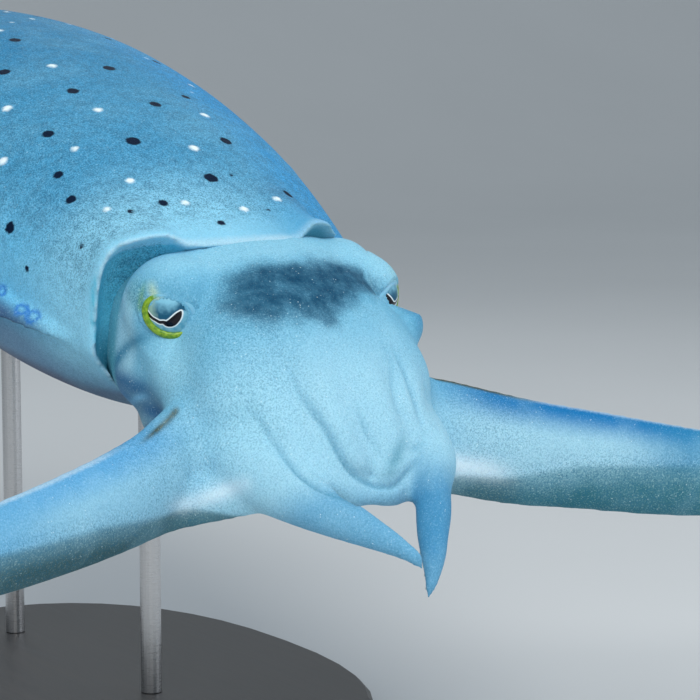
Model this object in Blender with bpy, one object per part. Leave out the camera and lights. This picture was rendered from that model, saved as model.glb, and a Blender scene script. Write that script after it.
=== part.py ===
"""A life-size model of a broadclub cuttlefish hunting over a reef: head down, six arms folded
into a drooping bundle, the two broad ventral arms spread wide. It stands on a plain display stand.

The animal is laid out in its own axes: x to its left, -y forward, z up, from the midpoint between
its eyes. One empty then pitches it head down and lifts it over the middle of the stand's base."""

import math

import bpy
import numpy as np

# Units. Sizes below are in millimetres unless their name says otherwise.
MM = 0.001
GAP = 0.3

# Pose and place
PITCH_DEG = 13.6
EYE_HEIGHT = 168.0
EYES_AHEAD_OF_STAND = 130.0

# Mantle and fins
MANTLE_RIM = -24.0
MANTLE_TIP = -352.0
CUP_DEPTH = 17.0
CUP_WALL = 3.2
LOBE_REACH = 9.0
FIN_START = -34.0
FIN_END = -345.0
FIN_WIDTH = 29.0
FIN_WAVE = 6.0
FIN_WAVES = 3.2

# Head
NECK_END = MANTLE_RIM - CUP_DEPTH + GAP
EYE_CENTRE = (36.4, -9.5, 0.5)
EYE_RADIUS = 14.0
EYE_TURN_DEG = 50.0
LID_OPENING = 8.4

# Suckers: sides, how deep the foot sits and how high the rim stands, as shares of half its radius
SUCKER_SIDES = 6
SUCKER_ROOT = 1.3
SUCKER_STAND = 1.7
SUCKER_SEED = 7

# Stand
BASE_LENGTH = 250.0
BASE_WIDTH = 176.0
BASE_THICKNESS = 12.0
ROD_RADIUS = 4.0
ROD_SIDES = 20
FRONT_ROD_AT = -38.0
REAR_ROD_AT = 78.0

# Colours, as linear RGB, with roughness and metallic, by the start of a node's name
FINISHES = {
    "mantle": ((0.17, 0.36, 0.50), 0.45, 0.0),
    "fin": ((0.16, 0.30, 0.48), 0.4, 0.0),
    "head": ((0.24, 0.50, 0.64), 0.45, 0.0),
    "funnel": ((0.30, 0.50, 0.60), 0.45, 0.0),
    "arm": ((0.26, 0.54, 0.68), 0.45, 0.0),
    "eye": ((0.05, 0.12, 0.16), 0.12, 0.0),
    "beak": ((0.03, 0.02, 0.02), 0.35, 0.0),
    "stand_base": ((0.03, 0.03, 0.035), 0.5, 0.0),
    "stand_rod": ((0.6, 0.6, 0.62), 0.3, 1.0),
}


# Basic making of meshes


def material(node):
    """A material of the node's own, with the finish that its name asks for."""
    colour, roughness, metallic = next(value for key, value in FINISHES.items() if node.startswith(key))
    made = bpy.data.materials.new(node)
    made.use_nodes = True
    shader = made.node_tree.nodes["Principled BSDF"]
    shader.inputs["Base Color"].default_value = (*colour, 1)
    shader.inputs["Roughness"].default_value = roughness
    shader.inputs["Metallic"].default_value = metallic
    return made


def finish(nodes):
    for node in nodes:
        node.data.materials.clear()
        node.data.materials.append(material(node.name))


def mesh_object(name, points, faces, mirror=False):
    """A closed body from points in millimetres as (left, forward, up). A mirrored one lies on the right."""
    sign = -1 if mirror else 1
    placed = np.array([(sign * left * MM, -forward * MM, up * MM) for left, forward, up in points])
    volume = 0.0
    for face in faces:
        for k in range(1, len(face) - 1):
            volume += np.dot(placed[face[0]], np.cross(placed[face[k]], placed[face[k + 1]]))
    outward = faces if volume > 0 else [face[::-1] for face in faces]
    mesh = bpy.data.meshes.new(name)
    mesh.from_pydata(placed.tolist(), [], outward)
    mesh.update()
    made = bpy.data.objects.new(name, mesh)
    bpy.context.scene.collection.objects.link(made)
    return made


def skinned(rings):
    """Points and faces of a closed body through rings of equally many points."""
    count = len(rings[0])
    points = [tuple(point) for ring in rings for point in ring]
    faces = [tuple(range(count))[::-1]]
    for row in range(len(rings) - 1):
        start = row * count
        for k in range(count):
            a, b = start + k, start + (k + 1) % count
            faces.append((a, b, b + count))
            faces.append((a, b + count, a + count))
    last = (len(rings) - 1) * count
    faces.append(tuple(range(last, last + count)))
    return points, faces


def loft(name, rings, mirror=False):
    return mesh_object(name, *skinned(rings), mirror)


def smooth_rows(rows, count):
    """Rows of numbers drawn out to count rows, at even steps of length along their first three columns."""
    rows = np.array(rows, float)
    steps = np.linalg.norm(np.diff(rows[:, :3], axis=0), axis=1)
    at = np.concatenate([[0], np.cumsum(steps)])
    slopes = np.gradient(rows, at, axis=0)
    wanted = np.linspace(0, at[-1], count)
    index = np.clip(np.searchsorted(at, wanted, side="right") - 1, 0, len(rows) - 2)
    span = (at[index + 1] - at[index])[:, None]
    t = (wanted[:, None] - at[index][:, None]) / span
    start, end = rows[index], rows[index + 1]
    return (
        start * (2 * t**3 - 3 * t**2 + 1)
        + slopes[index] * span * (t**3 - 2 * t**2 + t)
        + end * (3 * t**2 - 2 * t**3)
        + slopes[index + 1] * span * (t**3 - t**2)
    )


def unit(vectors):
    return vectors / np.linalg.norm(vectors, axis=-1, keepdims=True)


def ball(name, centre, radii, columns, rows, mirror=False):
    """An ellipsoid with its poles above and below."""
    points = [(centre[0], centre[1], centre[2] + radii[2])]
    for row in range(1, rows):
        tilt = math.pi * row / rows
        for column in range(columns):
            turn = 2 * math.pi * column / columns
            points.append(
                (
                    centre[0] + radii[0] * math.sin(tilt) * math.cos(turn),
                    centre[1] + radii[1] * math.sin(tilt) * math.sin(turn),
                    centre[2] + radii[2] * math.cos(tilt),
                )
            )
    points.append((centre[0], centre[1], centre[2] - radii[2]))
    faces = []
    for column in range(columns):
        after = (column + 1) % columns
        faces.append((0, 1 + column, 1 + after))
        last = 1 + (rows - 2) * columns
        faces.append((len(points) - 1, last + after, last + column))
        for row in range(rows - 2):
            a = 1 + row * columns + column
            b = 1 + row * columns + after
            faces.append((a, a + columns, b + columns, b))
    return mesh_object(name, points, faces, mirror)


def boolean(target, operation, others):
    """Joins others to target, or cuts them out of it, and removes them."""
    if not others:
        return target
    group = bpy.data.collections.new("cutters")
    for other in others:
        group.objects.link(other)
    step = target.modifiers.new(operation, "BOOLEAN")
    step.operation = operation
    step.operand_type = "COLLECTION"
    step.collection = group
    step.solver = "EXACT"
    graph = bpy.context.evaluated_depsgraph_get()
    graph.update()
    made = bpy.data.meshes.new_from_object(target.evaluated_get(graph))
    target.modifiers.clear()
    target.data = made
    for other in others:
        bpy.data.objects.remove(other)
    bpy.data.collections.remove(group)
    return keep_largest(target)


def keep_largest(target):
    """Leaves only the largest closed surface of the object's mesh."""
    mesh = target.data
    parent = list(range(len(mesh.vertices)))

    def root(index):
        while parent[index] != index:
            parent[index] = parent[parent[index]]
            index = parent[index]
        return index

    for edge in mesh.edges:
        a, b = (root(v) for v in edge.vertices)
        parent[a] = b
    groups = {}
    for face in mesh.polygons:
        groups.setdefault(root(face.vertices[0]), []).append(face)
    if len(groups) < 2:
        return target

    def size(faces):
        corners = np.array([mesh.vertices[v].co for face in faces for v in face.vertices])
        return np.prod(np.ptp(corners, axis=0) + 1e-9)

    largest = max(groups.values(), key=size)
    used = sorted({v for face in largest for v in face.vertices})
    index = {old: new for new, old in enumerate(used)}
    points = [tuple(mesh.vertices[v].co) for v in used]
    faces = [tuple(index[v] for v in face.vertices) for face in largest]
    kept = bpy.data.meshes.new(target.name)
    kept.from_pydata(points, [], faces)
    target.data = kept
    return target


# Mantle: a sleeve, closed behind, whose front rim stands off the head


# forward place, half width, top, bottom, in millimetres from the eyes' midpoint
MANTLE_SECTIONS = (
    (-24, 59.5, 20.5, -50),
    (-45, 65, 29.5, -54),
    (-80, 71, 41, -58),
    (-120, 75.5, 48, -59),
    (-160, 77, 52, -58),
    (-200, 75, 53, -55),
    (-240, 68, 50, -50),
    (-280, 58, 43, -42),
    (-313, 45, 33, -33),
    (-334, 31, 23, -25),
    (-347, 17, 13, -15),
    (-352, 5, 5, -7),
)
MANTLE_SQUARENESS = 2.35
MANTLE_SIDES = 26
MANTLE_ROWS = 18


def mantle_section(forward):
    """Half width, top and bottom of the mantle at that place."""
    rows = sorted(MANTLE_SECTIONS)
    places = [row[0] for row in rows]
    return [float(np.interp(forward, places, [row[k] for row in rows])) for k in (1, 2, 3)]


def mantle_ring(forward, grow=0.0, lobe=0.0):
    """One ring of the mantle. The lobe carries its upper middle forward over the head."""
    half, top, bottom = mantle_section(forward)
    middle, tall = (top + bottom) / 2, (top - bottom) / 2
    ring = []
    for k in range(MANTLE_SIDES):
        turn = 2 * math.pi * k / MANTLE_SIDES
        c, s = math.cos(turn), math.sin(turn)
        across = math.copysign(abs(c) ** (2 / MANTLE_SQUARENESS), c)
        rise = math.copysign(abs(s) ** (2 / MANTLE_SQUARENESS), s)
        reach = lobe * max(0.0, s) ** 3
        sink = -0.8 * lobe * max(0.0, -s) ** 2
        ring.append(
            (
                (half + grow) * across,
                forward + reach + sink,
                middle + (tall + grow) * rise,
            )
        )
    return ring


def mantle_rings(grow=0.0):
    """From the floor of the cup forward to the rim and back along the outside to the tail."""
    front = MANTLE_RIM + grow
    places = front - 3.0 + (MANTLE_TIP - front + 3.0) * np.linspace(0, 1, MANTLE_ROWS) ** 0.9
    wall = CUP_WALL + grow * 2
    return [
        mantle_ring(MANTLE_RIM - CUP_DEPTH + grow, grow - wall - 5.0),
        mantle_ring(front, grow - wall, LOBE_REACH),
        mantle_ring(front, grow, LOBE_REACH),
        mantle_ring(places[0], grow, LOBE_REACH * 0.8),
        *[mantle_ring(place, grow) for place in places[1:]],
    ]


def make_mantle():
    return loft("mantle", mantle_rings())


# Fins: a thin frill along each side of the mantle, thrown into waves


FIN_STEPS = 28
FIN_ROOT_DEPTH = 7.0
# Half thickness and steepness of each stretch of the fin's section, from the root out
FIN_STRETCHES = ((1.5, 0.3), (1.1, 1.0), (0.5, 1.35))
FIN_DROOP_DEG = (42.0, 24.0)


def fin_root(forward):
    """Where the fin grows from the mantle's side."""
    half, top, bottom = mantle_section(forward)
    return half * 0.985, (top + bottom) / 2 - 0.06 * (top - bottom)


def fin_ring(share):
    """One section of the left fin, that share of the way back along it."""
    forward = FIN_START + (FIN_END - FIN_START) * share
    side, up = fin_root(forward)
    swell = math.sin(math.pi * min(1.0, 0.12 + share * 1.6) / 2) ** 0.7 * (1 - share**8)
    stretch = FIN_WIDTH * max(0.12, swell) / len(FIN_STRETCHES)
    wave = FIN_WAVE * math.sin(2 * math.pi * FIN_WAVES * share) * swell
    droop = FIN_DROOP_DEG[0] + (FIN_DROOP_DEG[1] - FIN_DROOP_DEG[0]) * min(1.0, share * 3)
    half = FIN_STRETCHES[0][0]
    upper = [(side - FIN_ROOT_DEPTH, forward, up + half)]
    lower = [(side - FIN_ROOT_DEPTH, forward, up - half)]
    out = drop = 0.0
    for number, (half, steep) in enumerate(FIN_STRETCHES):
        angle = math.radians(droop * steep)
        out += math.cos(angle) * stretch
        drop += math.sin(angle) * stretch
        lift = wave * ((number + 1) / len(FIN_STRETCHES)) ** 1.5 - drop
        upper.append((side + out + math.sin(angle) * half, forward, up + lift + math.cos(angle) * half))
        lower.append((side + out - math.sin(angle) * half, forward, up + lift - math.cos(angle) * half))
    return upper + lower[::-1]


def mantle_cutter():
    return loft("mantle_cutter", mantle_rings(GAP))


def make_fin(name, mirror):
    fin = loft(name, [fin_ring(step / FIN_STEPS) for step in range(FIN_STEPS + 1)], mirror=mirror)
    return boolean(fin, "DIFFERENCE", [mantle_cutter()])


# Head: neck, face, eye bulges, cheeks and the mouth's muscle


# forward, up of the axis, half width, height above and below the axis
HEAD_SECTIONS = (
    (-40.7, -12, 45, 21, 24),
    (-30, -12, 51, 26, 29),
    (-14, -12, 50, 30.5, 32),
    (2, -13, 43, 29, 33),
    (15, -17, 44.5, 26, 31),
    (26, -24, 46.5, 22, 26),
    (35, -31, 40.5, 18, 19),
    (41, -37, 29, 13, 13),
)
HEAD_SIDES = 22
HEAD_ROWS = 13
# centre as (left, forward, up), radii, columns and rows of faces; the bulge behind the eye, then the cheek
EYE_BULGE = ((35.5, -10.0, -0.5), (18.3, 17.6, 17.8), 16, 10)
CHEEK = ((41.5, 9.5, -8.0), (9.5, 11.5, 9.5), 12, 7)
MOUTH_MUSCLE = ((0.0, 41.0, -41.0), (11.5, 13.0, 11.5), 10, 6)


def power(value, exponent):
    return math.copysign(abs(value) ** exponent, value)


def head_rings(grow=0.0):
    rows = smooth_rows([(0, f, u, w, a, b) for f, u, w, a, b in HEAD_SECTIONS], HEAD_ROWS)
    tangents = unit(np.gradient(rows[:, :3], axis=0))
    rings = []
    for row, tangent in zip(rows, tangents):
        upward = np.cross((1, 0, 0), tangent)
        _, forward, up, half, above, below = row
        ring = []
        for k in range(HEAD_SIDES):
            turn = 2 * math.pi * k / HEAD_SIDES
            c, s = math.cos(turn), math.sin(turn)
            tall, round_off = (above, 0.85) if s > 0 else (below, 0.72)
            across = power(c, round_off) * (half + grow)
            rise = power(s, round_off) * (tall + grow)
            ring.append(np.array((across, forward, up)) + upward * rise)
        rings.append(ring)
    if grow:
        rings[-1] = [point + tangents[-1] * grow for point in rings[-1]]
    return rings


def head_parts(grow=0.0):
    """The closed bodies that make up the head, the first of them its core."""
    parts = [loft("head_core", head_rings(grow))]
    for centre, radii, columns, rows in (EYE_BULGE, CHEEK):
        grown = [radius + grow for radius in radii]
        for mirror in (False, True):
            parts.append(ball("head_bulge", centre, grown, columns, rows, mirror))
    centre, radii, columns, rows = MOUTH_MUSCLE
    parts.append(ball("mouth_muscle", centre, [radius + grow for radius in radii], columns, rows))
    return parts


def eye_front():
    """Where the left eye's surface meets the line it looks along."""
    turn = math.radians(EYE_TURN_DEG)
    left, forward, up = EYE_CENTRE
    return left + EYE_RADIUS * math.cos(turn), forward + EYE_RADIUS * math.sin(turn), up


def make_head():
    core, *bulges = head_parts()
    core.name = "head"
    boolean(core, "UNION", bulges)
    cutters = [loft("beak_socket", beak_rings(GAP)), mantle_cutter()]
    for mirror in (False, True):
        cutters.append(ball("socket", EYE_CENTRE, [EYE_RADIUS + GAP] * 3, 14, 8, mirror))
        opening = (LID_OPENING, LID_OPENING, LID_OPENING * 0.9)
        cutters.append(ball("lid_opening", eye_front(), opening, 12, 8, mirror))
    return boolean(core, "DIFFERENCE", cutters)


def make_eye(name, mirror):
    return ball(name, EYE_CENTRE, [EYE_RADIUS] * 3, 14, 8, mirror)


# Beak: a small dark hook in the mouth's muscle


# forward, up, half width, half height
BEAK_SECTIONS = ((60.5, -50.5, 1.0, 1.0), (57, -47.5, 3.6, 3.4), (53, -45.5, 4.8, 4.6), (48, -44, 4.6, 4.4))
BEAK_SIDES = 10


def beak_rings(grow=0.0):
    rings = []
    for forward, up, half, tall in BEAK_SECTIONS:
        ring = []
        for k in range(BEAK_SIDES):
            turn = 2 * math.pi * k / BEAK_SIDES
            ring.append(((half + grow) * math.cos(turn), forward, up + (tall + grow) * math.sin(turn)))
        rings.append(ring)
    for end, way in ((0, grow), (-1, -grow)):
        rings[end] = [(left, forward + way, up) for left, forward, up in rings[end]]
    return rings


# Funnel: the tube below the head, wide behind, with a blind hole in its front


# forward, up, half width, half height, in order from the inside of the hole round to the back
FUNNEL_SECTIONS = (
    (-6, -47.5, 5.0, 4.0),
    (11, -54, 6.2, 5.2),
    (12, -54.5, 7.6, 6.6),
    (4, -51.5, 9.5, 8.3),
    (-8, -47.5, 14, 9.5),
    (-22, -43.5, 21, 8.5),
    (-38.5, -41, 23, 7.0),
)
FUNNEL_SIDES = 18


def make_funnel():
    rings = []
    for forward, up, half, tall in FUNNEL_SECTIONS[::-1]:
        ring = []
        for k in range(FUNNEL_SIDES):
            turn = 2 * math.pi * k / FUNNEL_SIDES
            ring.append((half * math.cos(turn), forward, up + tall * math.sin(turn)))
        rings.append(ring)
    return boolean(loft("funnel", rings), "DIFFERENCE", head_parts(GAP) + [mantle_cutter()])


# Arms


class Arm:
    """One arm: its route with half widths and depths, which way it lies, and how it is divided."""

    def __init__(
        self, rows, across, edge=1.0, sides=10, splits=(), steps=16, suckers=8, first=0.3, size=(2.0, 0.9)
    ):
        self.edge = edge
        self.sides = sides
        self.steps = steps
        self.suckers = suckers
        self.first = first
        self.size = size
        dense = smooth_rows(rows, 240)
        self.length = float(np.sum(np.linalg.norm(np.diff(dense[:, :3], axis=0), axis=1)))
        tangents = unit(np.gradient(dense[:, :3], axis=0))
        share = np.linspace(0, 1, len(dense))[:, None]
        across = np.array(across[0]) * (1 - share) + np.array(across[1]) * share
        across = unit(across - tangents * np.sum(across * tangents, axis=1)[:, None])
        self.table = np.hstack([dense[:, :3], tangents, across, np.cross(across, tangents), dense[:, 3:5]])
        limits = [0.0, *splits, 1.0]
        half = GAP / 2 / self.length
        self.spans = [
            (low + (half if low > 0 else 0), high - (half if high < 1 else 0))
            for low, high in zip(limits, limits[1:])
        ]

    def frame(self, place):
        """Centre, tangent, across, outward, half width and half depth at that share of the length."""
        at = np.linspace(0, 1, len(self.table))
        row = [np.interp(place, at, column) for column in self.table.T]
        parts = [np.array(row[3 * k : 3 * k + 3]) for k in range(4)]
        return (*parts, row[12], row[13])

    def ring(self, place, grow=0.0):
        centre, _, across, outward, half, deep = self.frame(place)
        ring = []
        for k in range(self.sides):
            turn = 2 * math.pi * k / self.sides
            c, s = math.cos(turn), math.sin(turn)
            depth = 0.0 if abs(s) < 1e-6 else math.copysign(deep * abs(s) ** self.edge + grow, s)
            ring.append(centre + across * (half + grow) * c + outward * depth)
        return ring

    def places(self, low, high):
        return np.linspace(low, high, max(3, round(self.steps * (high - low)) + 1))

    def rings(self, low, high):
        return [self.ring(place) for place in self.places(low, high)]

    def grown_rings(self):
        """Rings of the whole arm at the same places as its lengths have, each a gap larger."""
        rings = [self.ring(place, GAP) for span in self.spans for place in self.places(*span)]
        for index, place, way in ((0, 0.0, -GAP), (-1, 1.0, GAP)):
            tangent = self.frame(place)[1]
            rings[index] = [point + tangent * way for point in rings[index]]
        return rings

    def sucker_places(self, low, high):
        """Share of the length, side and size of each sucker that stands in that span."""
        found = []
        for row in range(self.suckers):
            for side in (-1, 1):
                share = (row + 0.25 + 0.25 * side) / self.suckers
                place = self.first + (0.97 - self.first) * share
                size = self.size[0] + (self.size[1] - self.size[0]) * share
                margin = (size + GAP) / self.length
                if low + margin < place < high - margin or (high == 1.0 and place > low + margin):
                    found.append((place, side, size))
        return found

    def holds(self, point, margin):
        """Whether the point lies in this arm, made larger by that margin."""
        apart = point - self.table[:, :3]
        along, wide, deep = (np.sum(apart * self.table[:, k : k + 3], axis=1) for k in (3, 6, 9))
        round_it = (wide / (self.table[:, 12] + margin)) ** 2 + (deep / (self.table[:, 13] + margin)) ** 2
        return bool(np.any((round_it < 1) & (abs(along) < margin)))


# Routes as (out from the midline, forward, up, half width, half depth)
ARM_1 = Arm(
    rows=(
        (9.2, 14, -9, 8.5, 8.5),
        (9.2, 30, -9.5, 8.8, 8.8),
        (9.1, 40, -15.5, 8.6, 8.6),
        (8.9, 49.5, -23.2, 8.4, 8.0),
        (8.5, 57, -29.5, 7.8, 6.8),
        (8.0, 61.3, -33.6, 6.6, 5.0),
        (7.4, 61.3, -37.8, 5.2, 3.5),
        (6.9, 57.5, -40.4, 4.2, 2.7),
        (6.4, 52.5, -40.8, 3.0, 2.0),
        (6.0, 47, -40, 1.2, 0.9),
    ),
    across=((1, 0, 0), (1, 0, 0)),
    splits=(0.64,),
    suckers=7,
    first=0.4,
)
ARM_2 = Arm(
    rows=(
        (29, 12, -13, 9.5, 9.5),
        (29, 28, -14, 9.8, 9.5),
        (26.5, 38, -20, 9.4, 9.0),
        (22.5, 48, -28.5, 8.8, 8.2),
        (17, 57.5, -35.5, 7.6, 7.0),
        (10.5, 64.8, -40.5, 5.2, 4.8),
        (5.5, 68, -42.5, 3.3, 3.1),
        (2.0, 68.5, -44, 1.2, 1.1),
    ),
    across=((0.85, -0.1, -0.5), (0.75, -0.1, -0.6)),
    splits=(0.64,),
    suckers=7,
    first=0.38,
)
ARM_3_LEFT = Arm(
    rows=(
        (37, 12, -32, 12, 10),
        (36.5, 32, -33.5, 12, 10),
        (33, 47, -35, 11, 9.5),
        (28, 60, -36.5, 9.5, 8.5),
        (23, 70, -39, 7.8, 7.0),
        (18.5, 77, -44, 6.5, 6.0),
        (13, 85, -49.5, 5.4, 5.0),
        (8, 93.5, -54.8, 3.9, 3.6),
        (5, 98, -60, 2.2, 2.0),
        (2, 100.5, -65, 0.9, 0.8),
    ),
    across=((0.42, 0, -0.9), (0.6, -0.1, -0.7)),
    splits=(0.58,),
    suckers=8,
    first=0.36,
)
ARM_3_RIGHT = Arm(
    rows=(
        (37, 12, -32, 12, 10),
        (37, 34, -35, 12, 10),
        (33.5, 52, -38.2, 10.8, 9),
        (28, 68, -40.5, 8.4, 7.4),
        (20, 83.5, -42.6, 6.2, 5.5),
        (14, 92, -44.8, 4.4, 4.0),
        (9, 98, -47, 3.0, 2.8),
        (5.5, 102, -49.5, 2.0, 1.8),
        (3.5, 104, -52.3, 0.9, 0.8),
    ),
    across=((0.42, 0, -0.9), (0.42, 0, -0.9)),
    splits=(0.58,),
    suckers=8,
    first=0.36,
)
ARM_4_LEFT = Arm(
    rows=(
        (24, 6, -35, 18, 12),
        (42, 20, -39, 19.5, 11),
        (60, 31, -42, 19.5, 10),
        (82, 42, -45, 19, 9.5),
        (101, 51, -46, 18, 9),
        (133, 67, -47.6, 16.4, 8),
        (164, 81, -48, 13.5, 7),
        (192, 94, -47, 9.5, 5),
        (214, 106, -44, 5.5, 3),
        (229, 116, -40, 1.3, 1),
    ),
    across=((0, -0.35, 1), (0, -0.35, 1)),
    edge=1.6,
    sides=12,
    splits=(0.4, 0.72),
    steps=24,
    suckers=12,
    first=0.2,
    size=(2.7, 1.0),
)
ARM_4_RIGHT = Arm(
    rows=(
        (24, 6, -35, 18, 12),
        (42, 20, -40, 18.5, 11),
        (60, 31, -44.5, 17.5, 10),
        (82, 42, -46, 16.2, 9.5),
        (101, 51, -46, 15.2, 9),
        (133, 67, -44.2, 13.6, 8),
        (164, 81, -42, 11.6, 7),
        (192, 94, -40, 8.6, 5),
        (214, 106, -37, 5, 3),
        (229, 115, -33, 1.3, 1),
    ),
    across=((0, -0.35, 1), (0, -0.35, 1)),
    edge=1.6,
    sides=12,
    splits=(0.4, 0.72),
    steps=24,
    suckers=12,
    first=0.2,
    size=(2.6, 1.0),
)


def make_sucker(arm, place, side, size, mirror, random, others):
    """A small cup rooted in the arm's inner face, or nothing where another arm presses on it."""
    centre, tangent, across, outward, half, deep = arm.frame(place)
    turn = math.radians(22 + 6 * random.random())
    size *= 0.94 + 0.12 * random.random()
    foot = centre + across * side * half * math.sin(turn) * 1.05
    foot = foot - outward * deep * math.cos(turn) ** arm.edge
    up = unit(across * side * math.sin(turn) * 0.8 - outward * math.cos(turn))
    top = foot + up * size * SUCKER_STAND / 2
    if any(other.holds(top, size + GAP * 2) for other in others):
        return None
    along = unit(tangent - up * np.dot(tangent, up))
    beside = np.cross(up, along)
    rings = []
    for radius, height in ((0.6, -SUCKER_ROOT), (1.0, SUCKER_STAND), (0.62, SUCKER_STAND)):
        ring = []
        for k in range(SUCKER_SIDES):
            angle = 2 * math.pi * k / SUCKER_SIDES
            spoke = along * math.cos(angle) + beside * math.sin(angle)
            ring.append(foot + spoke * size * radius + up * height * size / 2)
        rings.append(ring)
    points = [tuple(point) for ring in rings for point in ring] + [tuple(foot + up * 0.3 * size)]
    sides = SUCKER_SIDES
    faces = [tuple(range(sides))[::-1]]
    for row in (0, sides):
        for k in range(sides):
            after = (k + 1) % sides
            faces.append((row + k, row + after, row + after + sides, row + k + sides))
    faces += [(2 * sides + k, 2 * sides + (k + 1) % sides, 3 * sides) for k in range(sides)]
    return mesh_object("sucker", points, faces, mirror=mirror)


def make_arm(name, number, arms, mirror):
    """The lengths of one arm, each cut clear of the head and of the arms made before it."""
    arm = arms[number]
    names = {2: ("base", "tip"), 3: ("base", "middle", "tip")}[len(arm.spans)]
    random = np.random.default_rng(SUCKER_SEED)
    others = [other for other in arms if other is not arm]
    made = []
    for part, (low, high) in zip(names, arm.spans):
        length = loft(f"{name}_{part}", arm.rings(low, high), mirror=mirror)
        cups = [make_sucker(arm, *sucker, mirror, random, others) for sucker in arm.sucker_places(low, high)]
        boolean(length, "UNION", [cup for cup in cups if cup])
        cutters = [loft("arm_cutter", other.grown_rings(), mirror=mirror) for other in arms[:number]]
        made.append(boolean(length, "DIFFERENCE", head_parts(GAP) + cutters))
    return made


def make_arms():
    made = []
    pairs = (("left", False, ARM_3_LEFT, ARM_4_LEFT), ("right", True, ARM_3_RIGHT, ARM_4_RIGHT))
    for side, mirror, third, fourth in pairs:
        arms = (ARM_1, ARM_2, third, fourth)
        for number in range(len(arms)):
            made += make_arm(f"arm_{number + 1}_{side}", number, arms, mirror)
    return made


# Stand: a flat oval base and two rods up to the mantle's underside


def make_base():
    rings = []
    for inset, height in ((0, 0), (0, BASE_THICKNESS - 2), (2, BASE_THICKNESS)):
        ring = []
        for k in range(40):
            turn = 2 * math.pi * k / 40
            across = (BASE_WIDTH / 2 - inset) * power(math.cos(turn), 0.85)
            along = (BASE_LENGTH / 2 - inset) * power(math.sin(turn), 0.85)
            ring.append((across, along, height))
        rings.append(ring)
    return loft("stand_base", rings)


def make_rod(name, back, holder):
    """An upright rod that stops just short of the mantle."""
    rings = []
    for height in (BASE_THICKNESS + GAP, EYE_HEIGHT + 20):
        ring = []
        for k in range(ROD_SIDES):
            turn = 2 * math.pi * k / ROD_SIDES
            ring.append((ROD_RADIUS * math.cos(turn), -back + ROD_RADIUS * math.sin(turn), height))
        rings.append(ring)
    rod = loft(name, rings)
    cutter = mantle_cutter()
    cutter.parent = holder
    return boolean(rod, "DIFFERENCE", [cutter])


# The whole


def clear_scene():
    for old in list(bpy.data.objects):
        bpy.data.objects.remove(old)


def make_holder():
    """The empty that pitches the animal and lifts it over the stand."""
    holder = bpy.data.objects.new("animal", None)
    bpy.context.scene.collection.objects.link(holder)
    holder.location = (0, -EYES_AHEAD_OF_STAND * MM, EYE_HEIGHT * MM)
    holder.rotation_euler = (math.radians(PITCH_DEG), 0, 0)
    return holder


def main():
    clear_scene()
    animal = [make_mantle(), make_head(), make_funnel()]
    animal += [make_fin("fin_left", False), make_fin("fin_right", True)]
    animal += [make_eye("eye_left", False), make_eye("eye_right", True)]
    animal.append(loft("beak", beak_rings()))
    animal += make_arms()
    holder = make_holder()
    for piece in animal:
        piece.parent = holder
    stand = [make_base()]
    stand.append(make_rod("stand_rod_front", FRONT_ROD_AT, holder))
    stand.append(make_rod("stand_rod_rear", REAR_ROD_AT, holder))
    finish(animal + stand)


main()
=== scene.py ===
"""The looks of a life-size model of a broadclub cuttlefish: soft skins, eyes, suckers and stand."""

import math

import bmesh
import bpy
import numpy as np
from mathutils import Matrix, Vector


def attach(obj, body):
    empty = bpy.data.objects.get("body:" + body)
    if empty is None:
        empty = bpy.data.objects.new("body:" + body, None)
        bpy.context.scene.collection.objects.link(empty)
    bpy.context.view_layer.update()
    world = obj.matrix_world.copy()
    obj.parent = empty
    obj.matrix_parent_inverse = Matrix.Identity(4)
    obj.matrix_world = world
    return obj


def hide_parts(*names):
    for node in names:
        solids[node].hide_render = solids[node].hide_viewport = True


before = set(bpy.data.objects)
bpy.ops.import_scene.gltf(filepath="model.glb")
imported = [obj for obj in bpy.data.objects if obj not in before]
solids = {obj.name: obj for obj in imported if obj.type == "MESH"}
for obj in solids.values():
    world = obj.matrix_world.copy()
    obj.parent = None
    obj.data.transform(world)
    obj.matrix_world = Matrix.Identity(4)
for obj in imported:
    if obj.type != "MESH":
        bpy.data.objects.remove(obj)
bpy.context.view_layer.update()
bpy.context.scene.view_settings.view_transform = "Standard"


# The mantle with its two fins: a muscular sleeve, open in front, with a thin frill along each side.
# It is cast in one soft skin over the solid core, so the fins grow out of it without a joint.

MM = 0.001
TILT = math.radians(13.6)
BETWEEN_EYES = (0.0, -0.13, 0.168)


def placed(points):
    """World metres, from millimetres to the animal's left, forward and up from between its eyes."""
    points = np.asarray(points, float) / 1000
    left, back, up = points[..., 0], -points[..., 1], points[..., 2]
    return np.stack(
        [
            left + BETWEEN_EYES[0],
            back * math.cos(TILT) - up * math.sin(TILT) + BETWEEN_EYES[1],
            back * math.sin(TILT) + up * math.cos(TILT) + BETWEEN_EYES[2],
        ],
        axis=-1,
    )


def own(points):
    """The animal's own millimetres, from world metres."""
    x, y, z = ((np.asarray(points, float) - BETWEEN_EYES) * 1000).T
    return np.stack(
        [x, -(y * math.cos(TILT) + z * math.sin(TILT)), z * math.cos(TILT) - y * math.sin(TILT)], axis=-1
    )


def circle(count):
    """The cosine and sine of count equal steps of one full turn."""
    turn = np.linspace(0, 2 * math.pi, count, endpoint=False)
    return np.cos(turn), np.sin(turn)


def unit(rows):
    return rows / np.linalg.norm(rows, axis=1)[:, None]


def surface(name, points, faces):
    mesh = bpy.data.meshes.new(name)
    mesh.from_pydata(np.asarray(points).tolist(), [], faces)
    work = bmesh.new()
    work.from_mesh(mesh)
    bmesh.ops.recalc_face_normals(work, faces=work.faces)
    work.to_mesh(mesh)
    work.free()
    made = bpy.data.objects.new(name, mesh)
    bpy.context.scene.collection.objects.link(made)
    return made


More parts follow.
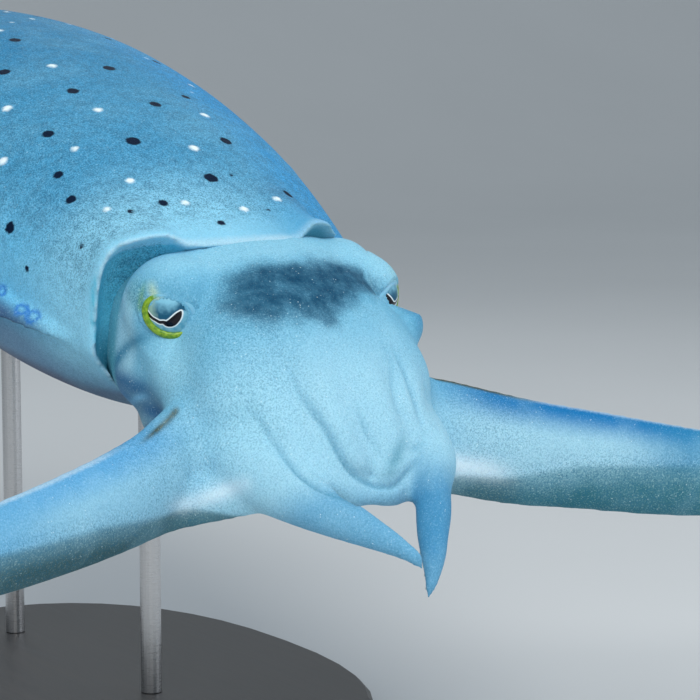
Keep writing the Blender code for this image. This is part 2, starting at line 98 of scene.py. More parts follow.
def tube(name, rings, ring_closed=False):
    """A closed body through rings of equally many points, in the animal's own millimetres."""
    rings = np.asarray(rings, float)
    rows, count = rings.shape[:2]
    faces = []
    for row in range(rows if ring_closed else rows - 1):
        here, there = row * count, (row + 1) % rows * count
        for k in range(count):
            after = (k + 1) % count
            faces.append((here + k, here + after, there + after, there + k))
    if not ring_closed:
        faces.append(tuple(range(count)))
        faces.append(tuple(range((rows - 1) * count, rows * count)))
    return surface(name, placed(rings.reshape(-1, 3)), faces)


def eased(rows, count):
    """Rows of numbers drawn out smoothly to count rows, at even lengths along their first three columns."""
    rows = np.array(rows, float)
    at = np.concatenate([[0], np.cumsum(np.linalg.norm(np.diff(rows[:, :3], axis=0), axis=1))])
    slopes = np.gradient(rows, at, axis=0)
    wanted = np.linspace(0, at[-1], count)
    index = np.clip(np.searchsorted(at, wanted, side="right") - 1, 0, len(rows) - 2)
    span = (at[index + 1] - at[index])[:, None]
    t = (wanted[:, None] - at[index][:, None]) / span
    return (
        rows[index] * (2 * t**3 - 3 * t**2 + 1)
        + slopes[index] * span * (t**3 - 2 * t**2 + t)
        + rows[index + 1] * (3 * t**2 - 2 * t**3)
        + slopes[index + 1] * span * (t**3 - t**2)
    )


def cast_skin(name, parts, grain):
    """One closed skin over overlapping bodies, which it uses up."""
    whole = bmesh.new()
    for part in parts:
        whole.from_mesh(part.data)
        bpy.data.objects.remove(part)
    mesh = bpy.data.meshes.new(name)
    whole.to_mesh(mesh)
    whole.free()
    made = bpy.data.objects.new(name, mesh)
    bpy.context.scene.collection.objects.link(made)
    return cast_again(made, grain)


def cast_again(made, grain):
    step = made.modifiers.new("cast", "REMESH")
    step.mode = "VOXEL"
    step.voxel_size = grain
    bpy.context.view_layer.objects.active = made
    bpy.ops.object.modifier_apply(modifier=step.name)
    made.data.shade_smooth()
    return made


def read_rows(items, name):
    flat = np.empty(3 * len(items), np.float32)
    items.foreach_get(name, flat)
    return flat.reshape(-1, 3).astype(float)


def places_of(made):
    return read_rows(made.data.vertices, "co")


def normals_of(made):
    return read_rows(made.data.vertex_normals, "vector")


def points_of(made):
    """A surface's points, in the animal's own millimetres."""
    return own(places_of(made))


def move_to(made, points):
    made.data.vertices.foreach_set("co", points.astype(np.float32).ravel())
    made.data.update()


def push_out(made, far):
    """Moves each point of the surface out along its normal, by far in millimetres."""
    move_to(made, places_of(made) + normals_of(made) * (MM * far)[:, None])


def soften(made, rounds, share=1.0, keep=True):
    """Relaxes the surface towards its neighbours' middle. keep pushes back, so that it doesn't shrink."""
    ends = np.empty(2 * len(made.data.edges), np.int32)
    made.data.edges.foreach_get("vertices", ends)
    a, b = ends.reshape(-1, 2).T
    points = places_of(made)
    count = len(points)
    near = (np.bincount(a, minlength=count) + np.bincount(b, minlength=count))[:, None]
    share = np.broadcast_to(share, (count,))[:, None]
    for _ in range(rounds):
        for push in (0.6, -0.62) if keep else (0.6,):
            total = [np.bincount(a, points[b, k], count) + np.bincount(b, points[a, k], count) for k in range(3)]
            points = points + push * share * (np.stack(total, axis=1) / near - points)
    move_to(made, points)


def dressed(made, material):
    made.data.materials.clear()
    made.data.materials.append(material)


def store(made, name, values):
    """Keeps a number or a colour at each point of the surface, for its material."""
    kind = "FLOAT_COLOR" if np.ndim(values) == 2 else "FLOAT"
    held = made.data.attributes.new(name, kind, "POINT")
    if kind == "FLOAT":
        held.data.foreach_set("value", values.astype(np.float32))
    else:
        held.data.foreach_set("color", np.hstack([values, np.ones((len(values), 1))]).astype(np.float32).ravel())


def fade(values, start, end):
    """0 before start, 1 after end, smooth between them."""
    t = np.clip((values - start) / (end - start), 0, 1)
    return t * t * (3 - 2 * t)


def glow(points, place, reach):
    """1 at the place, and less around it: a third at reach millimetres."""
    return np.exp(-np.sum((points - place) ** 2, axis=1) / reach**2)


def close_to(points, centre, radii, start, end):
    """1 near the centre and 0 far from it, changing between start and end in units of the radii."""
    return 1 - fade(np.linalg.norm((points - centre) / radii, axis=1), start, end)


def blend(first, second, share):
    share = np.asarray(share)[:, None]
    return np.asarray(first) * (1 - share) + np.asarray(second) * share


def signed_power(values, power):
    return np.sign(values) * np.abs(values) ** power


def toned(tone, *layers):
    """The tones under each layer in turn, which is a colour and its share at each point."""
    for colour, share in layers:
        tone = blend(tone, colour, share)
    return tone


# forward, half width, top, bottom
MANTLE_SECTIONS = (
    (-24, 59.5, 20.5, -50), (-45, 65, 29.5, -54), (-80, 71, 41, -58), (-120, 75.5, 48, -59),
    (-160, 77, 52, -58), (-200, 75, 53, -55), (-240, 68, 50, -50), (-280, 58, 43, -42), (-313, 45, 33, -33),
    (-334, 31, 23, -25), (-347, 17, 13, -15), (-352, 5, 5, -7),
)
mantle_table = eased([(f, 0, 0, w, t, b) for f, w, t, b in MANTLE_SECTIONS], 400)[::-1]


def mantle_section(forward):
    """Half width, top and bottom there."""
    return [np.interp(forward, mantle_table[:, 0], mantle_table[:, k]) for k in (3, 4, 5)]


RIM = -24.0
LOBE = 12.0
LIP_RADIUS = 1.1
MANTLE_SIDES = 240


def oval(forward, side, rise):
    """The power of the section's oval, and how much wider it is, at shares of its width and height.
    The rim squares off over the right eye, and is drawn in below and along its upper left."""
    behind = np.maximum(0, RIM - forward)
    over_eye = np.exp(-behind / 15) * fade(-side, -0.08, 0.42) * fade(rise, -0.4, 0.7)
    upper_left = np.exp(-behind / 90) * fade(side, 0, 0.3) * fade(rise, 0, 0.25)
    below = np.exp(-behind / 30) * fade(-rise, -0.3, 0.5)
    return 2.35 + 2.8 * over_eye - 0.65 * upper_left - 0.5 * below, 1 + 0.055 * over_eye - 0.03 * below


def mantle_ring(forward, inset=0.0, lobe=0.0):
    half, top, bottom = mantle_section(forward)
    c, s = circle(MANTLE_SIDES)
    power, wide = oval(forward, c, s)
    left = (half * wide - inset) * signed_power(c, 2 / power)
    up = (top + bottom) / 2 + ((top - bottom) / 2 - inset) * signed_power(s, 2 / power)
    reach = lobe * (0.25 + 0.75 * np.maximum(0, s) ** 2.5 - 0.8 * np.maximum(0, -s) ** 2)
    near = (s > 0) * math.exp(-max(0.0, RIM - forward) / 11)
    raised = 10.5 * np.exp(-(abs((left - 24.5) / 8.5) ** 3.2)) + 4.8 * np.exp(-(((left + 48) / 13.8) ** 6))
    return np.stack([left, forward + reach, up + raised * near], axis=-1)


def inner_ring(depth, inset):
    """The wall inside the rim: shallow at the neck, and deeper below, where the water is let in."""
    ring = mantle_ring(RIM - depth, inset, LOBE)
    ring[:, 1] -= 10 * fade(-ring[:, 2], 24, 40)
    return ring


rings = [inner_ring(5.0, 38.0), inner_ring(5.0, 22.0), inner_ring(5.0, 12.0)]
rings += [inner_ring(4.8 - k * 0.36, 9.0 - 7.2 * math.sin(math.pi * k / 16)) for k in range(9)]
for turn in np.linspace(-80, 80, 7):
    nose = math.radians(turn)
    forward = RIM - LIP_RADIUS + LIP_RADIUS * math.cos(nose)
    rings.append(mantle_ring(forward, LIP_RADIUS - LIP_RADIUS * math.sin(nose), LOBE))
for step in range(1, 130):
    back = 326 * (step / 129) ** 0.92
    rings.append(mantle_ring(RIM - LIP_RADIUS - back, 0.0, LOBE * math.exp(-back / 14)))
mantle_core = tube("mantle_core", rings)


def fin_root(forward):
    half, top, bottom = mantle_section(forward)
    return half * 0.985, (top + bottom) / 2 - 0.06 * (top - bottom)


def fin_ring(share, side):
    """One section of a fin, that share of the way back, thick enough to be cast."""
    forward = -34 - 311 * share
    root, up = fin_root(forward)
    swell = math.sin(math.pi * min(1.0, 0.02 + share * 1.7) / 2) ** 0.9 * (1 - share**8)
    width = 29 * max(0.04, swell)
    wave = 6 * math.sin(2 * math.pi * 3.2 * share) * swell
    droop = 42 - 18 * min(1.0, share * 3)
    path = [(root - 7.0, up)]
    out, lift = root, up
    steps = 14
    for k in range(1, steps + 1):
        along = k / steps
        angle = math.radians(droop * float(np.interp(along, (0, 0.35, 0.65, 1), (0.3, 0.5, 1.1, 1.4))))
        out += math.cos(angle) * width / steps
        lift -= math.sin(angle) * width / steps
        path.append((out, lift + wave * along**1.5))
    path = np.array(path)
    along = unit(np.gradient(path, axis=0))
    half = np.interp(np.linspace(0, 1, len(path)), (0, 0.3, 1), (2.6, 1.9, 1.35))[:, None]
    normal = np.stack([-along[:, 1], along[:, 0]], axis=1) * half
    outline = np.vstack([path + normal, path[-1:] + along[-1:] * half[-1], (path - normal)[::-1]])
    return [(side * x, forward, z) for x, z in outline]


fins = [
    tube("fin_core", [fin_ring(k / 150, side) for k in range(151)])
    for side in (1, -1)
]
MANTLE_GRAIN = 0.00153
mantle_skin = cast_skin("mantle_skin", [mantle_core, *fins], MANTLE_GRAIN)
soften(mantle_skin, 6)
front = points_of(mantle_skin)[:, 1]
soften(mantle_skin, 24, fade(front, -45, -30))


def off_mantle(points):
    """How far points stand out past the mantle's side, in millimetres, where the fins are."""
    half, top, bottom = mantle_section(points[:, 1])
    middle, tall = (top + bottom) / 2, (top - bottom) / 2
    side, rise = points[:, 0] / half, (points[:, 2] - middle) / tall
    power, wide = oval(points[:, 1], side, rise)
    return ((np.abs(side / wide) ** power + np.abs(rise) ** power) ** (1 / power) - 1) * half


here = points_of(mantle_skin)
fin_share = fade(off_mantle(here), 2, 22) * (here[:, 1] < -36)
push_out(mantle_skin, -0.85 * fin_share)

# Dark spots, then pale papillae: left, forward, up, radius
DARK_SPOTS = (
    (-20.5, -76.2, 39, 2.7), (-2.3, -50.3, 32.2, 2.6), (-44.6, -95.5, 36.9, 2.2), (-51.2, -72.7, 28.3, 1.9),
    (-53.2, -58.2, 23.4, 1.9), (-67.4, -74, 9.1, 2.2), (-23.1, -119.5, 46.5, 2.4), (2.3, -139.5, 50.3, 2.5),
    (18.4, -76, 38.4, 2.4), (28.2, -45.6, 26.5, 2.1), (-27.9, -38.6, 27.1, 1.8), (-41.6, -36.2, 25.1, 1.3),
    (-12.5, -24.2, 23.7, 1.6), (-59.1, -36.3, 13.5, 1.1), (2.7, -102.8, 45.5, 2.3), (-18.6, -178.7, 52, 2.4),
    (-37.3, -148.6, 46.6, 2.4), (7.3, -51.8, 32.5, 1), (11, -31.4, 25.4, 0.9), (-67.3, -58.8, -1.2, 1.1),
    (22.6, -114.3, 45.2, 1.8),
)
PALE_SPOTS = (
    (-19.5, -144.5, 50, 1.9), (-22.1, -101.2, 44, 1.7), (-48.2, -122, 39.6, 1.9), (-60.6, -97.2, 26.8, 1.8),
    (-41.2, -80.8, 35.2, 1.4), (0.6, -68.6, 38, 1.9), (-32.9, -54, 30.8, 1.6), (-19.9, -37.2, 27.3, 1.5),
    (0.9, -31.4, 26.1, 1.6), (18.7, -38.1, 27.1, 1.6), (-47.2, -42.9, 24, 1.4), (21, -96.5, 42.8, 1.9),
)


def scattered(chosen, count, apart, radii, seed):
    """The chosen spots, and more of them over the rest of the back and sides."""
    random = np.random.default_rng(seed)
    found = [np.array(spot) for spot in chosen]
    for _ in range(4000):
        if len(found) >= count:
            break
        forward = -30 - 305 * random.random()
        half, top, bottom = mantle_section(forward)
        turn = math.radians(-2 + 184 * random.random())
        left = half * signed_power(math.cos(turn), 0.85)
        up = (top + bottom) / 2 + (top - bottom) / 2 * signed_power(math.sin(turn), 0.85)
        spot = np.array((left, forward, up, radii[0] + (radii[1] - radii[0]) * random.random()))
        seen = spot[0] < 30 and forward > -185
        if not seen and min(np.linalg.norm(spot[:3] - other[:3]) for other in found) > apart:
            found.append(spot)
    return np.array(found)


def distance_to(points, line):
    best = np.full(len(points), 1e9)
    for place in line:
        best = np.minimum(best, np.sum((points - place) ** 2, axis=1))
    return np.sqrt(best)


def nearest(points, spots):
    """Distance in millimetres past the rim of the nearest spot, less than 0 inside it."""
    best = np.full(len(points), 99.0)
    for left, forward, up, radius in spots:
        best = np.minimum(best, np.linalg.norm(points - (left, forward, up), axis=1) - radius)
    return best


here = points_of(mantle_skin)
left, forward, up = here.T
half, top, bottom = mantle_section(forward)
height = (up - (top + bottom) / 2) / ((top - bottom) / 2)
dark = nearest(here, scattered(DARK_SPOTS, 62, 19, (1.2, 2.7), 11))
pale = nearest(here, scattered(PALE_SPOTS, 90, 13, (0.9, 1.7), 12))
# A low fold of skin behind each eye, and a row of blue rings over the root of each fin
FOLD = ((-51.4, -85.9, 29.6), (-63.8, -84.8, 18.2), (-66.1, -81.5, 12.6), (-67.6, -68, 1), (-66.5, -59.1, -3.5))
folds = np.vstack([eased(FOLD, 40) * (way, 1, 1) for way in (1, -1)])
raised = 0.7 * np.exp(-((distance_to(here, folds) / 1.3) ** 2)) + 0.4 * (1 - fade(pale, -1.5, 1.0))
BLUE_RINGS = [(-69.5, -70.1, -13.7), (-69.0, -56.2, -15.5), (-67.8, -50.0, -15.6)]
for row in range(16):
    place = -84.0 - 15 * row
    half, top, bottom = mantle_section(place)
    BLUE_RINGS.append((-half - 2.5, place, (top + bottom) / 2 - 0.02 * (top - bottom)))
BLUE_RINGS = np.array(BLUE_RINGS)
ringed = np.abs(np.minimum(distance_to(here, BLUE_RINGS), distance_to(here, BLUE_RINGS * (-1, 1, 1))) - 2.3)
push_out(mantle_skin, raised)
BACK = (0.065, 0.33, 0.57)
REAR = (0.0, 0.22, 0.48)
FAR_SIDE = (0.012, 0.33, 0.76)
FLANK = (0.16, 0.56, 0.86)
RIM_SIDE = (0.3, 0.69, 0.9)
BELLY = (0.16, 0.32, 0.5)
KEEL_SHADE = (0.09, 0.08, 0.14)
# The fins' own dark, see-through tone, darkened further as painted shade
FIN_WITH_SHADE = (0.04, 0.08, 0.19)
RING_BLUE = (0.015, 0.17, 0.6)
INSIDE = (0.095, 0.5, 0.7)
# Painted shade on the wall inside the rim, darker low down in the opening
INSIDE_LOW_SHADE = (0.012, 0.12, 0.19)
POCKET = (0.08, 0.3, 0.4)
LIP = (0.46, 0.68, 0.8)
beyond = off_mantle(here)
inner = fade(-beyond, 0.7, 1.3) * (forward > -60) * (forward < -8)
facing = normals_of(mantle_skin)[:, 2]
pocket = fade(-facing, -0.3, 0.05) * fade(left, 8, 13) * (1 - fade(left, 38, 44)) * fade(up, 12, 18)
tone = toned(
    np.tile(FLANK, (len(here), 1)),
    (BACK, fade(height, 0.15, 0.75)),
    (REAR, 0.8 * fade(-forward, 95, 190) * fade(height, 0.1, 0.6)),
    (FAR_SIDE, 0.85 * fade(left, 8, 45) * fade(height, 0.0, 0.6)),
    (BELLY, fade(-height, 0.05, 0.45)),
    (KEEL_SHADE, 0.8 * fade(-height, 0.55, 0.75) * (1 - fade(-forward, 80, 150))),
    (RIM_SIDE, 0.9 * fade(forward, -70, -30) * fade(-left, -35, 20) * fade(height, -0.7, -0.3)),
    # the fins' dark tone, with painted shade
    (FIN_WITH_SHADE, 0.95 * fade(beyond, 0.5, 7) * fade(-forward, 36, 46)),
    (RING_BLUE, 0.85 * (1 - fade(ringed, 0.4, 1.1))),
    (INSIDE, inner),
    # painted shade low inside the opening
    (INSIDE_LOW_SHADE, 0.9 * inner * fade(-height, -0.25, 0.35)),
    (POCKET, pocket * (forward > -34)),
)
edge = distance_to(here, mantle_ring(RIM, 1.0, LOBE)) / (1 + 1.8 * fade(height, 0.5, 0.9) * fade(left, -40, -30))
tone = blend(tone, LIP, 0.8 * (1 - fade(edge, 0.5, 2.0)) * (1 - 0.5 * fade(left, 8, 16)))
store(mantle_skin, "tone", tone)
store(mantle_skin, "dark", dark + 9 * inner)
store(mantle_skin, "pale", pale + 9 * inner)
store(mantle_skin, "speckle", (0.3 + 0.7 * fade(height, 0.0, 0.7)) * fade(edge, 1.5, 9))


class Value:
    """A number or colour that varies over a surface. Its operators add Math nodes."""

    def __init__(self, finish, socket):
        self.finish = finish
        self.socket = socket

    def math(self, operation, other):
        return self.finish.node("Math", {"operation": operation}, 0, {0: self, 1: other})

    def __add__(self, other):
        return self.math("ADD", other)

    def __sub__(self, other):
        return self.math("SUBTRACT", other)

    def __mul__(self, other):
        return self.math("MULTIPLY", other)

    def __rsub__(self, other):
        return (self * -1.0) + other

    __radd__ = __add__
    __rmul__ = __mul__

    def rise(self, start, end):
        """0 before start and 1 after end, smooth between; start may be the larger."""
        sockets = {"Value": self, "From Min": min(start, end), "From Max": max(start, end)}
        risen = self.finish.node("MapRange", {"interpolation_type": "SMOOTHSTEP"}, "Result", sockets)
        return risen if start < end else 1 - risen


class Finish:
    """A material being made up, node by node."""

    def __init__(self, name, **fixed):
        self.material = bpy.data.materials.new(name)
        self.material.use_nodes = True
        self.tree = self.material.node_tree
        self.shader = self.tree.nodes["Principled BSDF"]
        for socket, value in fixed.items():
            self.shader.inputs[socket.replace("_", " ")].default_value = value
        self.place = Value(self, self.tree.nodes.new("ShaderNodeTexCoord").outputs["Object"])

    def node(self, kind, settings, output, sockets):
        """Adds a node, sets it up, and gives its sockets, by name or number, their links or values."""
        node = self.tree.nodes.new("ShaderNode" + kind)
        for setting, value in settings.items():
            setattr(node, setting, value)
        for name, value in sockets.items():
            if isinstance(value, Value):
                self.tree.links.new(value.socket, node.inputs[name])
            elif node.inputs[name].type == "RGBA":
                node.inputs[name].default_value = (*value, 1)
            else:
                node.inputs[name].default_value = value
        return Value(self, node.outputs[output])

    def noise(self, scale, detail=3.0, roughness=0.5, place=None):
        sockets = {"Vector": place or self.place, "Scale": scale, "Detail": detail, "Roughness": roughness}
        return self.node("TexNoise", {}, 0, sockets)

    def stretched(self, *scale):
        """The place on the surface, drawn out by scale."""
        return self.node("Mapping", {}, 0, {"Vector": self.place, "Scale": scale})

    def cells(self, scale):
        return self.node("TexVoronoi", {}, "Distance", {"Vector": self.place, "Scale": scale})

    def held(self, name, output="Fac"):
        return self.node("Attribute", {"attribute_name": name}, output, {})

    def mix(self, share, first, second):
        return self.node("Mix", {"data_type": "RGBA"}, 2, {0: share, 6: first, 7: second})

    def over(self, colour, *layers):
        """The colour under each layer in turn, which is a share and the layer's own colour."""
        for share, laid in layers:
            colour = self.mix(share, colour, laid)
        return colour

    def feed(self, socket, value):
        self.tree.links.new(value.socket, self.shader.inputs[socket])

    def done(self, colour, height, distance, strength):
        """The material, once it has its colour and the bumps on its surface."""
        sockets = {"Height": height, "Distance": distance, "Strength": strength}
        self.feed("Base Color", colour)
        self.feed("Normal", self.node("Bump", {}, 0, sockets))
        return self.material


def skin_base(name, clouds, blotches):
    """Satin skin, with what its layers are made of: clouds, grit, blotches, freckles and held tones."""
    made = Finish(name, Roughness=0.5, Specular_IOR_Level=0.1, Subsurface_Weight=0.1, Subsurface_Scale=0.002)
    made.shader.inputs["Subsurface Radius"].default_value = (0.3, 0.7, 1.0)
    grit = made.noise(1700, 3, 0.75)
    made.feed("Roughness", grit * 0.2 + 0.42)
    base = made.noise(*clouds), grit, made.noise(blotches, 4, 0.7), made.cells(1250)
    return made, *base, made.held("speckle"), made.held("tone", "Color")


def mantle_finish():
    made, cloud, grit, blotch, freckle, density, tone = skin_base("mantle_skin", (30, 5, 0.6), 260)
    dots = freckle.rise(0.36, 0.14) * blotch.rise(0.46, 0.6)
    glints = made.cells(640).rise(0.2, 0.06) * made.noise(300, 1).rise(0.58, 0.66)
    ragged = made.noise(700, 2) * 1.2 - 0.6
    colour = made.over(
        tone,
        (cloud.rise(0.4, 0.7) * 0.3, (0.2, 0.5, 0.68)),
        (blotch.rise(0.4, 0.66) * density * 0.4, (0.04, 0.16, 0.27)),
        (grit.rise(0.46, 0.62) * (density * 0.55 + 0.15), (0.02, 0.11, 0.2)),
        (grit.rise(0.46, 0.3) * (density * 0.25 + 0.15), (0.42, 0.7, 0.82)),
        (dots * density * 0.5, (0.012, 0.08, 0.15)),
        (glints * 0.5, (0.55, 0.8, 0.88)),
        ((made.held("dark") + ragged).rise(0.5, -0.3), (0.0, 0.008, 0.03)),
        ((made.held("pale") + ragged).rise(0.8, -1.0), (0.8, 0.93, 0.97)),
    )
    return made.done(colour, grit * 0.5 + freckle * 0.25 + blotch * 0.8, 0.0005, 0.5)


dressed(mantle_skin, mantle_finish())
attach(mantle_skin, "root")
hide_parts("mantle", "fin_left", "fin_right")


# The head, the funnel below it and the eight arms: one soft skin again, creased where the arms press
# together. Arms I to III droop in a bundle before the mouth, and arms IV stand out to the sides.


class Arm:
    """One arm: rows of out from the midline, forward, up, half width and half depth, and how it lies."""

    STEPS = 240
    SPARSE = 4
    SIDES = 40

    def __init__(self, rows, across, edge=1.0, suckers=0, first=0.3, side=1, turned=0):
        dense = eased(rows, self.STEPS)
        dense[:, 0] *= side
        along = unit(np.gradient(dense[:, :3], axis=0))
        share = np.linspace(0, 1, self.STEPS)[:, None]
        across = np.array(across[0], float) * (1 - share) + np.array(across[1], float) * share
        across[:, 0] *= side
        across = unit(across - along * np.sum(across * along, axis=1)[:, None])
        outward = np.cross(across, along) * side
        self.table = np.hstack([dense[:, :3], along, across, outward, dense[:, 3:5]])
        self.length = float(np.sum(np.linalg.norm(np.diff(dense[:, :3], axis=0), axis=1)))
        self.edge = edge
        self.suckers = suckers
        self.first = first
        self.turned = math.radians(turned)

    def frame(self, place):
        at = np.linspace(0, 1, self.STEPS)
        row = np.array([np.interp(place, at, column) for column in self.table.T])
        return row[0:3], row[3:6], row[6:9], row[9:12], row[12], row[13]

    def ring(self, place, grow):
        centre, _, across, outward, half, deep = self.frame(place)
        c, s = (values[:, None] for values in circle(self.SIDES))
        rise = np.sign(s) * (deep * np.abs(s) ** self.edge + grow)
        return centre + across * (half + grow) * c + outward * rise

    def core(self, grow=0.0):
        return tube("arm_core", [self.ring(place, grow) for place in np.linspace(0, 1, 120)])

    def around(self, points):
        """Share of the length, and how far across and outward in half widths and depths, for each point."""
        rows = self.table[:: self.SPARSE]
        best = np.full(len(points), 1e9)
        index = np.zeros(len(points), int)
        for k, row in enumerate(rows):
            far = np.sum((points - row[:3]) ** 2, axis=1)
            nearer = far < best
            best[nearer] = far[nearer]
            index[nearer] = k
        row = rows[index]
        apart = points - row[:, :3]
        wide = np.sum(apart * row[:, 6:9], axis=1) / row[:, 12]
        deep = np.sum(apart * row[:, 9:12], axis=1) / row[:, 13]
        slid = np.sum(apart * row[:, 3:6], axis=1) / self.length
        return index * self.SPARSE / (self.STEPS - 1) + slid, wide, deep


ARM_ROWS = {
    "1": (
        (9.2, 14, -9, 8.5, 8.5), (9.2, 30, -9.5, 8.8, 8.8), (9.1, 40, -15.5, 8.6, 8.6),
        (8.9, 49.5, -23.2, 8.4, 8), (8.5, 57, -29.5, 7.8, 6.8), (8, 61.3, -33.6, 6.6, 5),
        (7.4, 61.3, -37.8, 5.2, 3.5), (6.9, 57.5, -40.4, 4.2, 2.7), (6.4, 52.5, -40.8, 3, 2),
        (6, 47, -40, 1.2, 0.9),
    ),
    "2": (
        (29, 12, -13, 9.5, 9.5), (29, 28, -14, 9.8, 9.5), (26.5, 38, -20, 9.4, 9),
        (22.5, 48, -28.5, 8.8, 8.2), (17, 57.5, -35.5, 7.6, 7), (10.5, 64.8, -40.5, 5.2, 4.8),
        (5.5, 68, -42.5, 3.3, 3.1), (2, 68.5, -44, 1.2, 1.1),
    ),
    "3_left": (
        (37, 12, -32, 12, 10), (36.5, 32, -33.5, 12, 10), (33, 47, -35, 11, 9.5), (28, 60, -36.5, 9.5, 8.5),
        (23, 70, -39, 7.8, 7), (18.5, 77, -44, 6.5, 6), (13, 85, -49.5, 5.4, 5),
        (8, 93.5, -54.8, 3.9, 3.6), (5, 98, -60, 2.2, 2), (2, 100.5, -65, 0.9, 0.8),
    ),
    "3_right": (
        (37, 12, -32, 12, 10), (37, 34, -35, 12, 10), (33.5, 52, -38.2, 10.8, 9), (28, 68, -40.5, 8.4, 7.4),
        (20, 83.5, -42.6, 6.2, 5.5), (14, 92, -44.8, 4.4, 4), (9, 98, -47, 3, 2.8),
        (5.5, 102, -49.5, 2, 1.8), (3.5, 104, -52.3, 0.9, 0.8),
    ),
    "4_left": (
        (24, 6, -35, 18, 12), (42, 20, -39, 19.5, 11), (60, 31, -42, 19.5, 10), (82, 42, -45, 19, 9.5),
        (101, 51, -46, 18, 9), (133, 67, -47.6, 16.4, 8), (164, 81, -48, 13.5, 7), (192, 94, -47, 9.5, 5),
        (214, 106, -44, 5.5, 3), (229, 116, -40, 1.3, 1),
    ),
    "4_right": (
        (24, 6, -35, 18, 12), (42, 20, -40, 18.5, 11), (60, 31, -44.5, 17.5, 10), (82, 42, -46, 16.2, 9.5),
        (101, 51, -46, 15.2, 9), (133, 67, -44.2, 13.6, 8), (164, 81, -42, 11.6, 7), (192, 94, -40, 8.6, 5),
        (214, 106, -37, 5, 3), (229, 115, -33, 1.3, 1),
    ),
}
arms = {}
for name, side in (("left", 1), ("right", -1)):
    arms["1_" + name] = Arm(ARM_ROWS["1"], ((1, 0, 0), (1, 0, 0)), suckers=13, first=0.42, side=side)
    arms["2_" + name] = Arm(
        ARM_ROWS["2"], ((0.85, -0.1, -0.5), (0.75, -0.1, -0.6)), suckers=15, first=0.4, side=side
    )
    ends = ((0.42, 0, -0.9), (0.6, -0.1, -0.7) if side > 0 else (0.42, 0, -0.9))
    turned = 55 if side > 0 else 0
    arms["3_" + name] = Arm(ARM_ROWS["3_" + name], ends, suckers=26, first=0.34, side=side, turned=turned)
    arms["4_" + name] = Arm(
        ARM_ROWS["4_" + name], ((0, -0.35, 1), (0, -0.35, 1)), edge=1.35, suckers=44, first=0.16, side=side
    )


# forward, up of the axis, half width, height above and below the axis
HEAD_SECTIONS = (
    (-38, -12, 48, 25, 28), (-30, -12, 51, 29, 30), (-14, -12, 50.5, 32.8, 32), (2, -13, 43, 29, 33),
    (15, -17, 44.5, 26, 31), (26, -24, 46.5, 22, 26), (35, -31, 40.5, 18, 19), (41, -37, 29, 13, 13),
)
# forward, up, half width, half height, from the wide back round the lip to the bottom of the hole
FUNNEL_SECTIONS = (
    (-38.5, -41, 23, 7), (-22, -43.5, 21, 8.5), (-8, -47.5, 14, 9.5), (4, -51.5, 9.5, 8.3),
    (12, -54.5, 7.6, 6.6), (12.6, -54.8, 6.9, 5.9), (11, -54, 6, 5), (-4, -48.5, 5, 4),
)
HEAD_SIDES = 72
FUNNEL_SIDES = 48
EGG_SIDES = 40


def head_core():
    rows = eased([(0, *section) for section in HEAD_SECTIONS], 60)
    c, s = circle(HEAD_SIDES)
    rings = []
    for row, way in zip(rows, unit(np.gradient(rows[:, :3], axis=0))):
        square = np.where(s > 0, 0.77, 0.6 + 0.12 * fade(row[1], -10, 10))
        across = signed_power(c, square) * row[3]
        rise = signed_power(s, square) * np.where(s > 0, row[4], row[5])
        upward = np.cross((1, 0, 0), way)
        rings.append(np.stack([across, row[1] + upward[1] * rise, row[2] + upward[2] * rise], axis=-1))
    return tube("head_core", rings)


def funnel_core():
    c, s = circle(FUNNEL_SIDES)
    rings = []
    for _, forward, up, half, tall in eased([(0, *section) for section in FUNNEL_SECTIONS], 70):
        rings.append(np.stack([half * c, np.full(len(c), forward), up + tall * s], axis=-1))
    return tube("funnel_core", rings)


def egg(centre, radii):
    c, s = circle(EGG_SIDES)
    rings = []
    for tilt in np.linspace(0.03, math.pi - 0.03, 24):
        wide = math.sin(tilt)
        rings.append(centre + np.stack([c * wide, s * wide, np.full(len(c), math.cos(tilt))], axis=-1) * radii)
    return tube("egg", rings)


EYES = {1: np.array((37.9, -8.2, 0.5)), -1: np.array((-36.4, -9.5, 0.5))}
EYE_RADIUS = 14.0
EYE_TURN = math.radians(50)
# Lumps of flesh: left, forward, up, and their three radii
MOUTH_MUSCLE = (0, 41, -41, 11.5, 12, 10)
CHEEKS = (
    (32, 6, -22, 16.5, 26, 16), (36, -6, -14, 14, 16, 13), (37, -16, -25, 14.5, 17, 15),
    (33, -4, -37, 13, 17, 12.5),
)
EYE_BULGES = (
    (-35.5, -10, -0.5, 18.6, 17.9, 18.1), (31.5, -13, 3.5, 15.7, 17, 15.7), (38.3, -8.5, -2.5, 16.5, 16.5, 15),
    (43, 9.5, -6.3, 9.7, 11.5, 9.9),
)
lumps = [MOUTH_MUSCLE, *((side * left, *rest) for side in (1, -1) for left, *rest in CHEEKS), *EYE_BULGES]
cores = [head_core(), funnel_core(), *(egg(lump[:3], lump[3:]) for lump in lumps)]
cores += [arm.core(0.25) for arm in arms.values()]
# The rounded lower edge where arms I and II fold in: out, forward, up
FOLDED_EDGE = (
    (-20, 60.5, -36.5), (-13.9, 63.5, -37.7), (-9.4, 65.5, -39.6), (-3.3, 66.6, -41.8),
    (3, 67, -43), (9.9, 66.6, -43.4), (14.8, 65.4, -41.8), (19, 63, -39), (24.1, 59, -35),
)
folded = Arm([(*place, 3.9, 3.7) for place in FOLDED_EDGE], ((0, 1, 0), (0, 1, 0)))
cores.append(folded.core())
